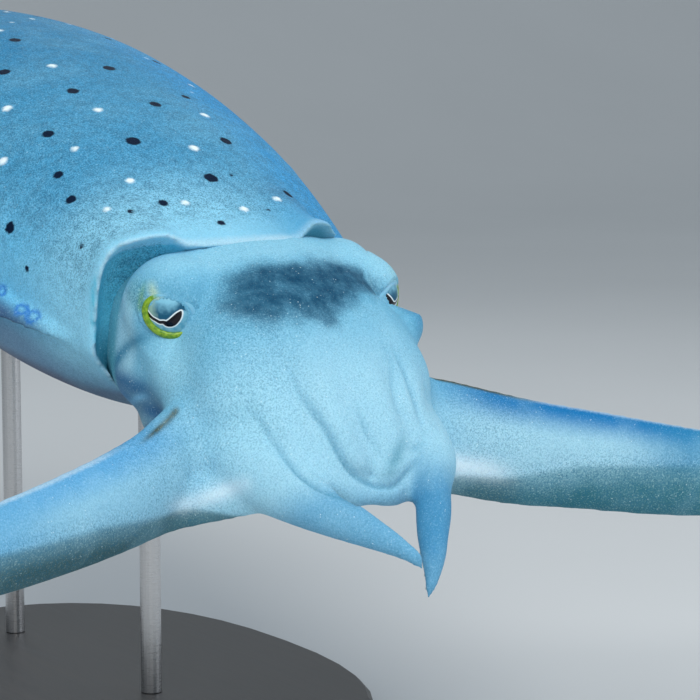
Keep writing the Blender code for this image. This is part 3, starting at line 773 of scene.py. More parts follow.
# The web between arms III and IV: out, forward, up, half height, half thickness
WEB = (
    (-68, 41, -54, 6, 3), (-56, 39, -52.5, 7.5, 3.2), (-47, 42.5, -49.5, 7.5, 3.2), (-41, 49, -46.5, 6.5, 3.2),
    (-35, 58, -43, 4.5, 3),
)
for side in (1, -1):
    cores.append(Arm([(-side * row[0], *row[1:]) for row in WEB], ((0, 0, 1), (0, 0, 1))).core())
CORE_GRAIN = 0.0014
SKIN_GRAIN = 0.00105
head_skin = cast_skin("head_skin", cores, CORE_GRAIN)


def webbing(points):
    """How far, in millimetres, flesh fills in between the arms' roots, the cheeks and the brow."""
    face = close_to(points, (0, 27, -22), (58, 44, 38), 0.55, 1.2)
    mouth = fade(np.linalg.norm(points - (0, 84, -53), axis=1), 16, 42)
    brow = close_to(points, (0, -8, 0), (62, 34, 38), 0.6, 1.2)
    return np.maximum(7.5 * face * mouth, 5 * brow * fade(points[:, 1], -20, -4))


def drawn_back(made):
    """Undoes the swelling: each point goes back by as much as its first place was moved out."""
    here, out = places_of(made), normals_of(made)
    first = here
    for _ in range(12):
        first = 0.4 * first + 0.6 * (here - out * (MM * webbing(own(first)))[:, None])
    move_to(made, first)


soften(head_skin, 3)
push_out(head_skin, webbing(points_of(head_skin)))
cast_again(head_skin, CORE_GRAIN)
soften(head_skin, 8)
drawn_back(head_skin)
soften(head_skin, 8)
cast_again(head_skin, SKIN_GRAIN)
soften(head_skin, 8)


# Creases where the arms press together, then the rounded folds beside them: the width of each, then
# its rows of left, forward, up and depth
CREASES = (
    (0.95, (-34.3, 41.9, -19.4, 0.3), (-32.6, 46.1, -22.9, 0.9), (-29.8, 51.3, -27.4, 1.2),
     (-29.6, 58.9, -30, 1.4), (-29.4, 67.6, -32.1, 1.6), (-26.5, 74.7, -34, 1.6), (-21.5, 77.8, -35.2, 1.4),
     (-17, 82, -37, 0.9)),
    (0.95, (-18, 36, -5, 0.2), (-18.4, 40.1, -9.6, 0.7), (-16.2, 48.4, -17.2, 1.4), (-14.4, 56.3, -22.1, 1.6),
     (-12.2, 62.9, -28.8, 1.7), (-7.7, 65.7, -34.5, 1.8), (0, 68, -38.5, 1.7), (6.7, 69.2, -38.9, 1.4),
     (12.5, 67.2, -36.1, 1.3), (19.9, 63.7, -31.8, 0.9), (23.5, 60, -26.5, 0.3)),
    (0.95, (1.5, 49, -17.5, 0.2), (1.8, 51.6, -19.8, 0.8), (2, 57.3, -24.7, 1), (3.3, 62.5, -29.8, 0.3)),
    (0.9, (24.8, 33.4, -4, 0.5), (26.1, 37.6, -9.1, 1), (25.9, 43, -12.9, 1.1), (25.8, 49.1, -18.2, 1.1),
     (26.5, 54, -25.4, 0.6)),
    (0.9, (20.9, 34, -3.1, 0.4), (22, 38.3, -8.6, 0.7), (19.6, 44, -14.5, 0.8), (19, 48.6, -19.9, 0.8),
     (19.2, 53.9, -23.3, 0.3)),
    (1.3, (14, 64, -29, 0.3), (20, 60, -30.5, 1), (25, 56.5, -30, 1.2), (29, 52, -27, 0.5)),
)
FOLDS = (
    (3.0, (-13, 40, -7.5, 0.2), (-12.2, 48.5, -15, 0.9), (-10.3, 56.3, -20.5, 1.3), (-8, 62.5, -26.8, 1.5),
     (-4, 65.2, -32, 1.6), (2, 66.8, -34.8, 1.6), (8, 66.5, -34.3, 1.5), (14, 63.5, -31, 0.9),
     (18, 60, -26, 0.2)),
    (2.6, (-27, 48, -20, 0.2), (-25, 54.5, -25.5, 0.8), (-22.5, 62, -30.5, 1), (-17, 66.5, -36, 0.8),
     (-9, 68, -40, 0.3)),
    (1.7, (24.5, 38, -8, 0.3), (22.8, 44, -13.5, 0.9), (22.5, 50, -20, 0.9), (23, 55, -25, 0.3)),
    (1.0, (-49.5, 22.4, -23.3, 0.2), (-51.6, 23.4, -24.5, 1.3), (-54.3, 25.1, -25.7, 1.6),
     (-57.6, 27.2, -26.7, 1.5), (-61.2, 29.2, -27.7, 1.2), (-65.5, 31.7, -28.7, 0.7),
     (-70.8, 34.9, -29.7, 0.1)),
)


FACING = np.array((-0.5636, 0.7654, 0.3106))


def lines_field(points, lines):
    """The greatest depth that the lines give at each point, as seen from in front. Each line reaches
    8 mm into the flesh and out of it, and fades out sideways over its own width."""
    most = np.zeros(len(points))
    for width, *rows in lines:
        near = np.flatnonzero(distance_to(points, eased(rows, 14)[:, :3]) < 14)
        close = points[near]
        best = np.zeros(len(near))
        for row in eased(rows, 90):
            apart = close - row[:3]
            into = apart @ FACING
            aside = np.sum(apart**2, axis=1) - into**2
            best = np.maximum(best, row[3] * np.exp(-aside / width**2 - (into / 8) ** 4))
        most[near] = np.maximum(most[near], best)
    return most


here = points_of(head_skin)
bundle = close_to(here, (0, 50, -22), (42, 30, 26), 0.7, 1.1)
bend = close_to(here, (0, 64, -34), 1, 9, 17)
cheeks = close_to(np.abs(here), (36, 14, 21), (26, 30, 22), 0.6, 1.05)
soften(head_skin, 26, np.maximum(bundle, cheeks * (here[:, 2] < 5)), keep=False)
soften(head_skin, 30, bend, keep=False)
here = points_of(head_skin)
crease = lines_field(here, CREASES)
push_out(head_skin, lines_field(here, FOLDS) - crease)
turned_in = close_to(points_of(head_skin), (-1.5, 65, -36), 1, 2.5, 6)
soften(head_skin, 14, turned_in, keep=False)


def drawn_in(points):
    """Draws the left third arm's root in by up to 2.3 mm, towards the animal's right and back."""
    share = np.exp(-np.sum((points - (26, 75, -35.5)) ** 2, axis=1) / 90)
    return points - 2.3 * share[:, None] * (0.82, 0.55, 0.13)


here = points_of(head_skin)
move_to(head_skin, placed(drawn_in(here)))
soften(head_skin, 30, close_to(here, (38, -4, 14), 1, 5, 11), keep=False)


def eye_axes(side):
    """Along the line that the eye looks, toward the snout, and up."""
    look = np.array((side * math.cos(EYE_TURN), math.sin(EYE_TURN), 0.0))
    ahead = np.array((-side * math.sin(EYE_TURN), math.cos(EYE_TURN), 0.0))
    return look, ahead, np.array((0.0, 0.0, 1.0))


LID = (8.0, 6.2)
LID_ROLL = 0.75
LID_SPHERE = 14.15
LID_AHEAD = {1: 2.0, -1: 0.6}
LID_TILT = 0.24


def lid_axes(side):
    """The long and the short way across the lids, whose front corner sits lower."""
    look, ahead, top_way = eye_axes(side)
    lean, rise = math.cos(LID_TILT), math.sin(LID_TILT)
    return look, ahead * lean - top_way * rise, top_way * lean + ahead * rise


def seen_from_eye(points, side):
    """The way from the eye's centre, its length, and the place past the lids' opening, 1 at its rim."""
    _, ahead, top_way = lid_axes(side)
    apart = points - EYES[side]
    past = np.hypot((apart @ ahead - LID_AHEAD[side]) / LID[0], apart @ top_way / LID[1])
    return apart, np.linalg.norm(apart, axis=1), past


# The skin meets the eyeball round the opening, lies behind it inside, and covers it everywhere else
SKIN_BEHIND = 12.4
SKIN_OVER = 14.9
SKIN_EDGE = 14.3
here = points_of(head_skin)
for side in (1, -1):
    look, ahead, top_way = lid_axes(side)
    apart, far, past = seen_from_eye(here, side)
    near = (apart @ look > 4) & (far < 26)
    low = fade(-(apart @ top_way), -3, 3)
    edge = SKIN_EDGE - 0.4 * low
    wider = 1 + 0.3 * low + 0.9 * fade(apart @ ahead, 3, 11)
    flush = edge + (far - edge) * fade((past - 1) / wider, 0.12, 1.25)
    wanted = np.where(past < 1.0, SKIN_BEHIND, flush)
    here[near] += (apart * ((wanted - far) / far)[:, None])[near]
    apart, far, past = seen_from_eye(here, side)
    thin = (far < SKIN_OVER) & (past > 1.3)
    here[thin] += (apart * ((SKIN_OVER - far + 0.3 * (far - 13).clip(0)) / far)[:, None])[thin]
move_to(head_skin, placed(here))

here = points_of(head_skin)
left, forward, up = here.T
FACE = (0.145, 0.435, 0.63)
CROWN = (0.33, 0.62, 0.77)
BROW = (0.31, 0.65, 0.82)
# The arms' far ends: a slightly darker tone of their own, with painted shade where they lie under the bundle
TIPS = (0.14, 0.39, 0.6)
UNDER = (0.2, 0.4, 0.52)
KEEL = (0.055, 0.055, 0.01)
NECK = (0.1, 0.36, 0.47)
CREASE_SHADE = (0.05, 0.25, 0.4)
# Each fourth arm: its tone along the top, down its middle, below, and beyond its middle; then how far
# across it the dusky lower part begins, at shares of its length. The tone below is the lower membrane's
# own grey-green, darkened as painted shade
ARM_TONES = {
    "4_left": (
        (0.005, 0.17, 0.44), (0.34, 0.61, 0.75), (0.033, 0.165, 0.21), (0.02, 0.22, 0.43),
        ((0.15, 0.22, 0.26, 0.3, 0.38, 0.56, 1), (-0.75, -0.6, -0.52, -0.38, -0.1, 0.2, 0.2)),
    ),
    "4_right": (
        (0.11, 0.37, 0.65), (0.25, 0.52, 0.69), (0.03, 0.085, 0.09), (0.13, 0.39, 0.63),
        ((0.15, 0.25, 0.37, 0.46, 0.58, 1), (-0.6, -0.45, -0.16, -0.08, 0.05, 0.05)),
    ),
}
tone = toned(
    np.tile(FACE, (len(here), 1)),
    (CROWN, fade(forward, 18, 50)),
    (TIPS, fade(forward - 0.6 * up, 86, 104)),
    (UNDER, fade(-up - 0.35 * forward, 22, 34) * fade(-forward, -30, -5)),
    (BROW, 0.6 * fade(up, 9, 17) * (1 - fade(forward, -6, 6))),
)
# Soft highlights: left, forward, up, reach and strength
for *spot, reach, light in ((-46.7, 8.9, -15.8, 13, 0.75), (-37.9, 41, -22.2, 16, 0.5), (42, -2, 12, 11, 0.7)):
    tone = blend(tone, (0.33, 0.68, 0.84), light * glow(here, spot, reach))
# The dark patch between the eyes: left, forward, up, reach and strength of each cloud in it
CLOUDS = (
    (-16.5, 9.8, 13.5, 8.1, 0.9), (-20.1, 10, 12.7, 6.6, 0.6), (-11, 6.1, 15.5, 5.7, 0.7),
    (-24.7, 13.6, 10, 6.5, 0.45), (-19.2, 16.7, 10.3, 6, 0.6), (-5.6, 8.5, 15, 6, 0.75),
    (-10.1, 15.1, 12, 6, 0.65), (-14.2, 18.9, 10, 4.8, 0.4), (1, 7.6, 15.4, 6, 0.75),
    (2.9, 14.1, 12.7, 8.5, 0.9), (9.9, 7.9, 15, 6.6, 0.8), (14.6, 9.1, 14.1, 6.8, 0.9),
    (7.9, 16.7, 11.5, 7.1, 0.85), (20.6, 7, 14, 7, 0.85), (25.9, 7.6, 12.1, 6.8, 0.9),
    (29.5, 8.8, 10.3, 6, 0.85), (33.2, 8.6, 8.4, 4.6, 0.75), (1.4, 22.4, 8.5, 5.8, 0.75),
    (1.2, 27.2, 5.5, 4.4, 0.6), (-3.5, 24, 7.5, 4.8, 0.55), (16, 14.4, 11.8, 6, 0.6),
    (-6.1, 20, 9.9, 4.8, 0.55), (9.2, 21.6, 8.8, 4.4, 0.4), (-25.5, 17, 8, 7.5, 0.4),
    (-22, 20.5, 7.5, 7.5, 0.4), (-17, 24.5, 6.5, 6.5, 0.3), (-9, 24, 7.5, 6.5, 0.35), (-32, 12, 7, 7, 0.3),
    (-19, 14, 11.5, 14, 0.35), (4, 15, 12, 14, 0.3), (21, 10, 13, 11, 0.3),
)
clear = np.ones(len(here))
for *spot, reach, strength in CLOUDS:
    clear *= 1 - strength * glow(here, spot, reach)
speckle = 0.3 + 0.35 * fade(-left, 8, 25) * fade(forward, 0, 15) * (1 - fade(forward, 40, 60))
# Lines of painted shade and a painted highlight on the right cheek, green, yellow and teal lines round the
# eye, then a painted sheen on the webs beside arms III: the colour and width of each, then its rows of
# left, forward, up and strength
CHEEK_LINES = (
    ((0.008, 0.16, 0.3), 2.0, (-47.7, -3.4, -7.3, 0.2), (-49.1, -5.4, -9, 0.4), (-50, -8.1, -10.9, 0.6),
     (-50.2, -12.1, -13.7, 0.7), (-50.5, -15.2, -16.6, 0.8), (-50.6, -18.4, -20.6, 0.9),
     (-49, -24.3, -26.9, 0.9)),
    ((0.02, 0.17, 0.45), 2.6, (-47, -23.7, -33.4, 0.6), (-47, -18.4, -34.4, 0.7), (-46, -14.9, -36.1, 0.6)),
    ((0.008, 0.1, 0.26), 4.0, (-48, -25.8, -28.6, 0.75), (-48, -20.7, -28.9, 0.9), (-48, -15, -28.7, 0.95),
     (-47, -11.1, -28.8, 0.9), (-47, -4.9, -28.3, 0.7), (-47, 0.6, -28.1, 0.35)),
    ((0.008, 0.08, 0.22), 3.6, (-46, -8, -35.4, 0.5), (-45, -3.6, -34.9, 0.85), (-46, 3.5, -33.9, 0.9),
     (-47, 4.5, -36.7, 0.9), (-46, -0.2, -41.9, 0.9)),
    ((0.2, 0.5, 0.76), 1.3, (-46, -13.6, -35.6, 0.5), (-46, -10.6, -33, 0.9), (-46, -6.2, -30.7, 0.5)),
    ((0.13, 0.3, 0.03), 1.1, (-50.1, -7.9, 9, 0.2), (-50.7, -7.8, 6.4, 0.6), (-51, -7.7, 3.6, 0.9),
     (-50.9, -7.4, 0.8, 0.9)),
    ((0.6, 0.76, 0.42), 1.6, (-48.8, -5.6, 9.3, 0.3), (-48.6, -4.3, 7, 0.65), (-47.8, -2.8, 5.4, 0.5)),
    ((0.07, 0.33, 0.36), 2.6, (-51.6, -11.4, 7.5, 0.45), (-52.5, -10.3, 3.7, 0.5), (-51.6, -8.5, 0.7, 0.3)),
)
WEB_SHEEN_LINES = (
    ((0.68, 0.85, 0.95), 2.9, (-60, 42.2, -49.6, 0.1), (-58.5, 42.4, -49.5, 0.4), (-52.6, 43, -48.6, 0.5),
     (-48, 45.4, -46, 0.7), (-44.5, 49, -42.8, 0.75), (-42.6, 54.5, -39.1, 0.4)),
    ((0.68, 0.85, 0.95), 3.9, (54, 40.5, -47.8, 0.95), (58.3, 42.6, -48.2, 0.95), (63.2, 45, -48.5, 0.85),
     (67.9, 47.2, -49.3, 0.6), (72.6, 49.4, -50, 0.2)),
)
for side in (1, -1):
    # A painted pale sheen on the strip of skin behind each eye
    eye_sheen = 0.6 * fade(-forward, 7, 13) * (1 - fade(up, 0, 8)) * fade(up, -34, -24)
    tone = blend(tone, (0.34, 0.62, 0.76), eye_sheen)
    for colour, width, *rows in CHEEK_LINES:
        mirrored = [
            (-side * x, y, z, strength * (0.4 if side > 0 and z > 0 else 1)) for x, y, z, strength in rows
        ]
        tone = blend(tone, colour, lines_field(here, ((width, *mirrored),)))
    speckle += 0.8 * (1 - fade(distance_to(here, [(side * 52, -10, 5)]), 2, 7))
LIP_SHADE = (
    2.2, (15.4, 59.2, -25.6, 0.2), (11.4, 63.2, -28.3, 0.55), (8.3, 65.5, -31.3, 0.65), (5.5, 67.4, -34.5, 0.4),
)
# Painted shade along the bulge of the far cheek: its width, then rows of left, forward, up and strength
FAR_CHEEK_SHADE = (2.6, (45, 10.1, 2.8, 0.4), (47, 12.1, 0.8, 0.7), (49, 14.3, -2.0, 0.75), (49, 16.4, -5.7, 0.5))
tone = toned(
    tone,
    ((0.06, 0.25, 0.36), lines_field(here, (LIP_SHADE,))),
    ((0.05, 0.25, 0.45), lines_field(here, (FAR_CHEEK_SHADE,))),
    (NECK, fade(-forward, 18, 22)),
)
for name, (upper, middle, lower, outer, border) in ARM_TONES.items():
    share, wide, deep = arms[name].around(here)
    inside = 1 - fade(np.hypot(wide, deep), 1.15, 1.6)
    on_arm = fade(share, 0.09, 0.25) * inside
    below = np.interp(share, *border) - wide
    shade = toned(
        np.tile(middle, (len(here), 1)),
        (upper, fade(wide, 0.32, 0.92)),
        (outer, 0.8 * fade(share, 0.42, 0.58) * fade(wide, -0.35, 0.15)),
        # the dusky lower part: its own grey-green, darkened as painted shade
        (lower, fade(below, -0.06, 0.12) * 0.6 + fade(below, 0.05, 0.6) * 0.4),
        (UNDER, fade(-deep, 0.1, 0.5)),
    )
    tone = blend(tone, shade, on_arm)
    rough = 0.25 + 0.75 * np.maximum(fade(below, -0.5, 0.2), 0.6 * (1 - fade(share, 0.22, 0.36)))
    speckle = speckle * (1 - on_arm) + rough * on_arm
    edge = fade(wide, 0.94, 0.99) * (np.hypot(wide, deep) < 1.25)
    tone = blend(tone, (0.5, 0.7, 0.85), 0.7 * edge * fade(share, 0.24, 0.34))
# The lowest part of each web between arms III and IV: its own grey-green, darkened as painted shade
for side in (1, -1):
    web = distance_to(here, eased(WEB, 30)[:, :3] * (-side, 1, 1))
    tone = blend(tone, (0.06, 0.16, 0.19), 0.85 * (1 - fade(web, 7, 18)) * fade(-up, 50.3, 52.5))
for colour, *line in WEB_SHEEN_LINES:
    sheen = lines_field(here, (line,))
    tone = blend(tone, colour, sheen)
    speckle *= 1 - sheen
KEEL_LINE = (
    0.9, (-50.8, 22.9, -24, 0.3), (-51.6, 23.4, -24.5, 1), (-54.3, 25.1, -25.7, 1), (-57.6, 27.2, -26.7, 1),
    (-61.2, 29.2, -27.7, 0.9), (-65.5, 31.7, -28.7, 0.6), (-70.8, 34.9, -29.7, 0.1),
)
tone = blend(tone, KEEL, 1.25 * lines_field(here, (KEEL_LINE,)).clip(0, 0.8))
ridge = []
for place in np.linspace(0.14, 0.4, 60):
    centre, _, across, _, half, _ = arms["4_left"].frame(place)
    ridge.append(centre + across * half)
tone = blend(tone, KEEL, (1 - fade(distance_to(here, ridge), 1.6, 3.0)) * (1 - fade(left, 76, 92)))
# The left third arm darker along its outer half: its own tone, deepened with painted shade
share, wide, deep = arms["3_left"].around(here)
tone = blend(tone, (0.035, 0.23, 0.45), 0.75 * fade(share, 0.45, 0.7) * (1 - fade(np.hypot(wide, deep), 1.1, 1.5)))
# Painted shade along the creases between the arms
tone = blend(tone, CREASE_SHADE, 0.6 * np.clip(crease / 1.5, 0, 1) ** 1.7)
store(head_skin, "tone", tone)
store(head_skin, "speckle", speckle)
store(head_skin, "patch", 1 - clear)


def head_finish():
    made, cloud, grit, blotch, freckle, density, tone = skin_base("head_skin", (55, 4), 280)
    ragged = (made.noise(150, 6, 0.65) - 0.5) * 0.9 + (grit - 0.5) * 0.6
    patch = (made.held("patch") + ragged).rise(0.04, 1.12)
    dots = freckle.rise(0.36, 0.14) * blotch.rise(0.48, 0.6)
    glints = made.cells(700).rise(0.2, 0.06) * made.noise(300, 1).rise(0.56, 0.64)
    colour = made.over(
        tone,
        (cloud.rise(0.45, 0.75) * 0.2, (0.38, 0.68, 0.82)),
        (patch * (blotch.rise(0.66, 0.38) * 0.12 + 0.88), (0.0, 0.042, 0.1)),
        (grit.rise(0.46, 0.62) * (density * 0.55 + 0.1), (0.03, 0.16, 0.27)),
        (grit.rise(0.46, 0.3) * (density * 0.2 + 0.16) * (1 - patch * 0.85), (0.55, 0.82, 0.9)),
        (dots * (density * 0.6), (0.012, 0.08, 0.15)),
        (glints * 0.6, (0.7, 0.9, 0.95)),
    )
    return made.done(colour, grit * 0.5 + freckle * 0.25 + blotch * 0.8, 0.0004, 0.45)


dressed(head_skin, head_finish())
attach(head_skin, "root")
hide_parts("head", "funnel", *[name for name in solids if name.startswith("arm_")])


# The eyes: clear-coated balls, each with a wavy black pupil edged in white under a dusky flap.
# A soft lid runs round each, yellow-green below.

# The pupil's line across the eye, toward the snout: along, up, and half its width
PUPIL = (
    (-7.3, -0.2, 0.35), (-6.4, -1.1, 0.5), (-5.2, -1.8, 0.5), (-3.8, -2.2, 0.5), (-2.3, -2.6, 0.55),
    (-1, -2.4, 0.6), (0.2, -2.7, 0.95), (1.5, -2.2, 1.35), (2.7, -0.9, 1.4), (3.7, 0.8, 1), (4.2, 1.9, 0.4),
)
EYE_SIDES = 144


def eyeball(name, side, node):
    look, ahead, top_way = eye_axes(side)
    centre = EYES[side]
    c, s = (values[:, None] for values in circle(EYE_SIDES))
    rings = []
    for tilt in np.concatenate([np.linspace(0.004, 0.75, 70), np.linspace(0.8, math.pi - 0.05, 26)]):
        reach = EYE_RADIUS + 0.5 * (1 - fade(tilt, 0.2, 0.62))
        wide = reach * math.sin(tilt)
        rings.append(centre + look * reach * math.cos(tilt) + c * ahead * wide + s * top_way * wide)
    made = tube(name, rings)
    made.data.shade_smooth()
    apart = points_of(made) - centre
    shift, wider = ((4.0, 2.3), 1.5) if side > 0 else ((0, 0), 1)
    flat = np.stack([apart @ ahead, apart @ top_way], axis=1) - shift
    line = eased([(x, y, 0, w * (wider if x > 0 else 1)) for x, y, w in PUPIL], 90)
    best = np.full(len(flat), 99.0)
    for x, y, _, width in line:
        best = np.minimum(best, np.hypot(flat[:, 0] - x, flat[:, 1] - y) - width)
    above = flat[:, 1] - np.interp(flat[:, 0], line[:, 0], line[:, 1])
    store(made, "pupil", best)
    store(made, "above", above)
    store(made, "along", flat[:, 0])
    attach(made, "root")
    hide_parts(node)
    return made


def eye_finish():
    made = Finish("eye", Specular_IOR_Level=0.25, Coat_Roughness=0.03)
    ray = made.noise(600, 4)
    above = made.held("above")
    flap = made.mix((above + (ray - 0.5) * 4.0).rise(2.4, 7.6), (0.006, 0.09, 0.17), (0.2, 0.5, 0.66))
    fold = (made.held("along") + above * 0.35 + (ray - 0.5) * 4.0).rise(-1.8, -5.0) * above.rise(0.4, 1.6)
    flap = made.mix(fold * 0.65, flap, (0.38, 0.62, 0.5))
    below = made.mix(ray.rise(0.35, 0.7), (0.13, 0.4, 0.54), (0.28, 0.56, 0.68))
    matt = above.rise(0.2, 0.9)
    colour = made.mix(matt, below, flap)
    pupil = made.held("pupil")
    colour = made.mix(pupil.rise(0.62, 0.3), colour, (0.8, 0.9, 0.92))
    colour = made.mix(pupil.rise(0.1, -0.06), colour, (0.002, 0.002, 0.006))
    made.feed("Base Color", colour)
    made.feed("Roughness", matt * 0.43 + 0.12)
    made.feed("Coat Weight", (1 - matt) * 0.12)
    return made.material


eye_look = eye_finish()
for side, name in ((1, "left"), (-1, "right")):
    dressed(eyeball("eyeball_" + name, side, "eye_" + name), eye_look)


def lid(name, side):
    look, ahead, top_way = lid_axes(side)
    centre = EYES[side]
    rings = []
    for turn in np.linspace(0, 2 * math.pi, 128, endpoint=False):
        low = 0.5 - 0.5 * math.sin(turn)
        way = np.array((math.cos(turn), math.sin(turn)))
        middle = way * (np.array(LID) + LID_ROLL) + (LID_AHEAD[side], 0)
        away = way / LID
        away /= np.linalg.norm(away)
        ring = []
        for k in range(16):
            roll = 2 * math.pi * k / 16
            flat = middle + away * math.cos(roll) * (LID_ROLL + 0.5 * low)
            sphere = LID_SPHERE + 0.4 * low
            deep = math.sqrt(sphere**2 - flat @ flat)
            point = ahead * flat[0] + top_way * flat[1] + look * deep
            point *= 1 + math.sin(roll) * (0.22 + 0.78 * low) / sphere
            ring.append(centre + point)
        rings.append(ring)
    made = tube(name, rings, ring_closed=True)
    made.data.shade_smooth()
    apart = points_of(made) - centre
    store(made, "low", apart @ top_way)
    store(made, "front", apart @ ahead)
    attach(made, "root")
    return made


def lid_finish():
    made = Finish("lid", Roughness=0.35, Subsurface_Weight=0.1, Subsurface_Scale=0.003)
    grit = made.noise(900, 3)
    green = made.mix(grit.rise(0.35, 0.65), (0.11, 0.26, 0.01), (0.27, 0.44, 0.02))
    share = (made.held("low") + made.held("front") * 0.22 + (grit - 0.5) * 3.0).rise(4.4, 1.4)
    colour = made.mix(share, (0.205, 0.5, 0.68), green)
    return made.done(colour, grit, 0.0002, 0.25)


lid_look = lid_finish()
for side, name in ((1, "left"), (-1, "right")):
    dressed(lid("lid_" + name, side), lid_look)


# The suckers: small fleshy cups in four rows along each arm's inner face, each with a horny ring.
# An arm's cups are one sheet, with their feet sunk into the skin and their lean a little uneven.

SPOKES = 8
COLUMN_TURN = math.radians(17)
LAST_ROW = 0.97
LARGEST = 1.75
# The cup's rings from its foot over the lip and in: radius, height, and how far inside they count
CUP = ((0.45, -0.7, 0), (0.55, 0.35, 0), (1, 0.75, 0), (0.95, 1.15, 1), (0.6, 1.1, 0.35), (0.45, 0.6, 0.35))


def cup(centre, up_way, along, size):
    beside = np.cross(up_way, along)
    c, s = (values[:, None] for values in circle(SPOKES))
    spokes = c * along + s * beside
    return [centre + spokes * radius * size + up_way * height * size for radius, height, _ in CUP]


def sucker_sheet(name, arm, seed):
    random = np.random.default_rng(seed)
    points, faces, inner = [], [], []
    for row in range(arm.suckers):
        place = arm.first + (LAST_ROW - arm.first) * (row + 0.5) / arm.suckers
        for column in (-1.5, -0.5, 0.5, 1.5):
            lean = arm.turned + COLUMN_TURN * column + 0.05 * random.standard_normal()
            shift = 0.25 * (1 if row % 2 else -1) / arm.suckers
            spot, along, across, outward, half, deep = arm.frame(min(0.99, place + shift * (abs(column) - 1)))
            size = (0.16 * half + 0.25) * (0.9 + 0.2 * random.random()) * (1.15 - 0.12 * abs(column))
            size = min(size, LARGEST)
            foot = spot + across * half * math.sin(lean) - outward * deep * math.cos(lean) ** arm.edge
            up_way = across * math.sin(lean) - outward * math.cos(lean)
            side_way = along - up_way * (along @ up_way)
            side_way /= np.linalg.norm(side_way)
            rings = cup(foot, up_way, side_way, size)
            start = len(points)
            for ring in rings:
                points += list(ring)
            inner += [share for _, _, share in CUP for _ in range(SPOKES)]
            for first in range(start, len(points) - SPOKES, SPOKES):
                for k in range(SPOKES):
                    a, b = first + k, first + (k + 1) % SPOKES
                    faces.append((a, b, b + SPOKES, a + SPOKES))
            faces.append(tuple(range(start, start + SPOKES)))
            faces.append(tuple(range(len(points) - SPOKES, len(points))))
    made = surface(name, placed(drawn_in(np.array(points))), faces)
    made.data.shade_smooth()
    store(made, "inner", np.array(inner, float))
    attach(made, "root")
    return made


def sucker_finish():
    made = Finish("sucker", Roughness=0.35, Subsurface_Weight=0.15, Subsurface_Scale=0.002)
    inner = made.held("inner")
    colour = made.mix(inner.rise(0.2, 0.9), (0.42, 0.58, 0.62), (0.62, 0.6, 0.48))
    colour = made.mix(made.noise(600, 2).rise(0.4, 0.7) * 0.3, colour, (0.25, 0.42, 0.5))
    return made.done(colour, made.noise(900, 2), 0.0002, 0.4)


sucker_look = sucker_finish()
for number, (name, arm) in enumerate(arms.items()):
    dressed(sucker_sheet("suckers_" + name, arm, 20 + number), sucker_look)


# The beak: a dark hook of horn in the middle of the mouth, held in the muscle behind the arms.
# Its solid stays as it is, and only gets a glossy, clouded surface.


def horn_finish():
    made = Finish("horn", Roughness=0.3, Coat_Weight=0.3)
    colour = made.mix(made.noise(300, 4).rise(0.35, 0.7), (0.012, 0.007, 0.005), (0.055, 0.028, 0.015))
    return made.done(colour, made.noise(500, 3), 0.0002, 0.4)


dressed(solids["beak"], horn_finish())


# The stand: a flat oval board of wood stained near black, and two upright rods of brushed steel
# let into it, which carry the mantle from below.


def board_finish():
    made = Finish("stained_board", Roughness=0.45, Coat_Weight=0.15, Coat_Roughness=0.3)
    grain = made.noise(1, 5, 0.65, made.stretched(260, 14, 260))
    made.feed("Roughness", grain * 0.25 + 0.33)
    colour = made.mix(grain.rise(0.35, 0.7), (0.012, 0.012, 0.013), (0.045, 0.042, 0.04))
    return made.done(colour, grain, 0.0003, 0.5)


def steel_finish():
    made = Finish("brushed_steel", Metallic=1.0, Roughness=0.3)
    lines = made.noise(1, 3, place=made.stretched(250, 250, 6000))
    made.feed("Roughness", lines * 0.2 + 0.2)
    return made.done(made.mix(lines, (0.46, 0.46, 0.47), (0.62, 0.62, 0.63)), lines, 0.00005, 0.3)


dressed(solids["stand_base"], board_finish())
steel = steel_finish()
for rod in ("stand_rod_front", "stand_rod_rear"):
    dressed(solids[rod], steel)
    solids[rod].data.shade_smooth()


# The studio: a pale sweep of paper under and behind the stand, and three soft lamps.
# The camera stands before the animal's right side, a little above its eyes.

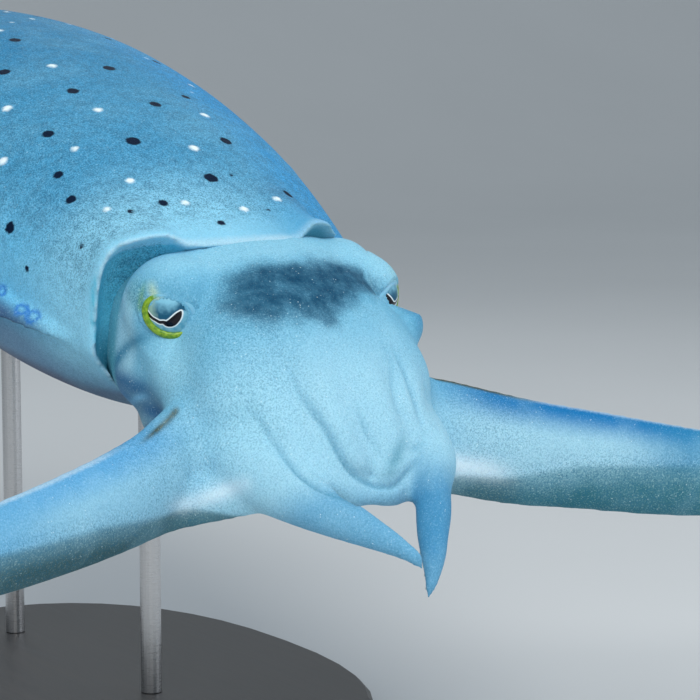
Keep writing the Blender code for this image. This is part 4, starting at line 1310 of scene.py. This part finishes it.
bpy.ops.object.select_all(action="DESELECT")
FLOOR = -0.0005
BEND_AT = 2.2
BEND = 1.6
REACH = 6.0
profile = [(-REACH, FLOOR), (BEND_AT, FLOOR)]
for turn in np.radians(np.linspace(5, 90, 18)):
    profile.append((BEND_AT + BEND * math.sin(turn), FLOOR + BEND - BEND * math.cos(turn)))
profile.append((BEND_AT + BEND, REACH))
sweep = [(x, y, z) for y, z in profile for x in (-REACH, REACH)]
floor = surface("floor", sweep, [(2 * k, 2 * k + 1, 2 * k + 3, 2 * k + 2) for k in range(len(profile) - 1)])
floor.data.shade_smooth()
paper = Finish("paper", Roughness=0.9)
paper.feed("Base Color", paper.mix(paper.noise(3, 3), (0.66, 0.68, 0.69), (0.7, 0.72, 0.73)))
dressed(floor, paper.material)

world = bpy.data.worlds.new("studio")
bpy.context.scene.world = world
world.use_nodes = True
world.node_tree.nodes["Background"].inputs["Color"].default_value = (0.8, 0.88, 0.95, 1)
world.node_tree.nodes["Background"].inputs["Strength"].default_value = 0.5


def lamp(name, place, aim, width, power, colour):
    made = bpy.data.objects.new(name, bpy.data.lights.new(name, "AREA"))
    made.data.size = width
    made.data.energy = power
    made.data.color = colour
    made.location = place
    made.rotation_euler = (Vector(aim) - Vector(place)).to_track_quat("-Z", "Y").to_euler()
    bpy.context.scene.collection.objects.link(made)


lamp("key", (-0.55, -0.95, 1.15), (0, -0.12, 0.16), 0.8, 15, (1.0, 0.98, 0.95))
lamp("fill", (1.1, -0.7, 0.6), (0, -0.1, 0.15), 0.9, 4.5, (0.9, 0.95, 1.0))
lamp("back", (0.5, 1.0, 0.9), (0, 0.1, 0.2), 0.9, 1.3, (0.95, 0.98, 1.0))

camera = bpy.data.objects.new("camera", bpy.data.cameras.new("camera"))
bpy.context.scene.collection.objects.link(camera)
bpy.context.scene.camera = camera
camera.data.lens = 119.69
camera.data.sensor_width = 36
look = Vector((0.5636, 0.817, -0.1219)).normalized()
right = look.cross(Vector((0, 0, 1))).normalized()
above = right.cross(look)
turned = Matrix((right, above, -look)).transposed()
camera.matrix_world = Matrix.Translation((-0.4321, -0.7987, 0.2512)) @ turned.to_4x4()
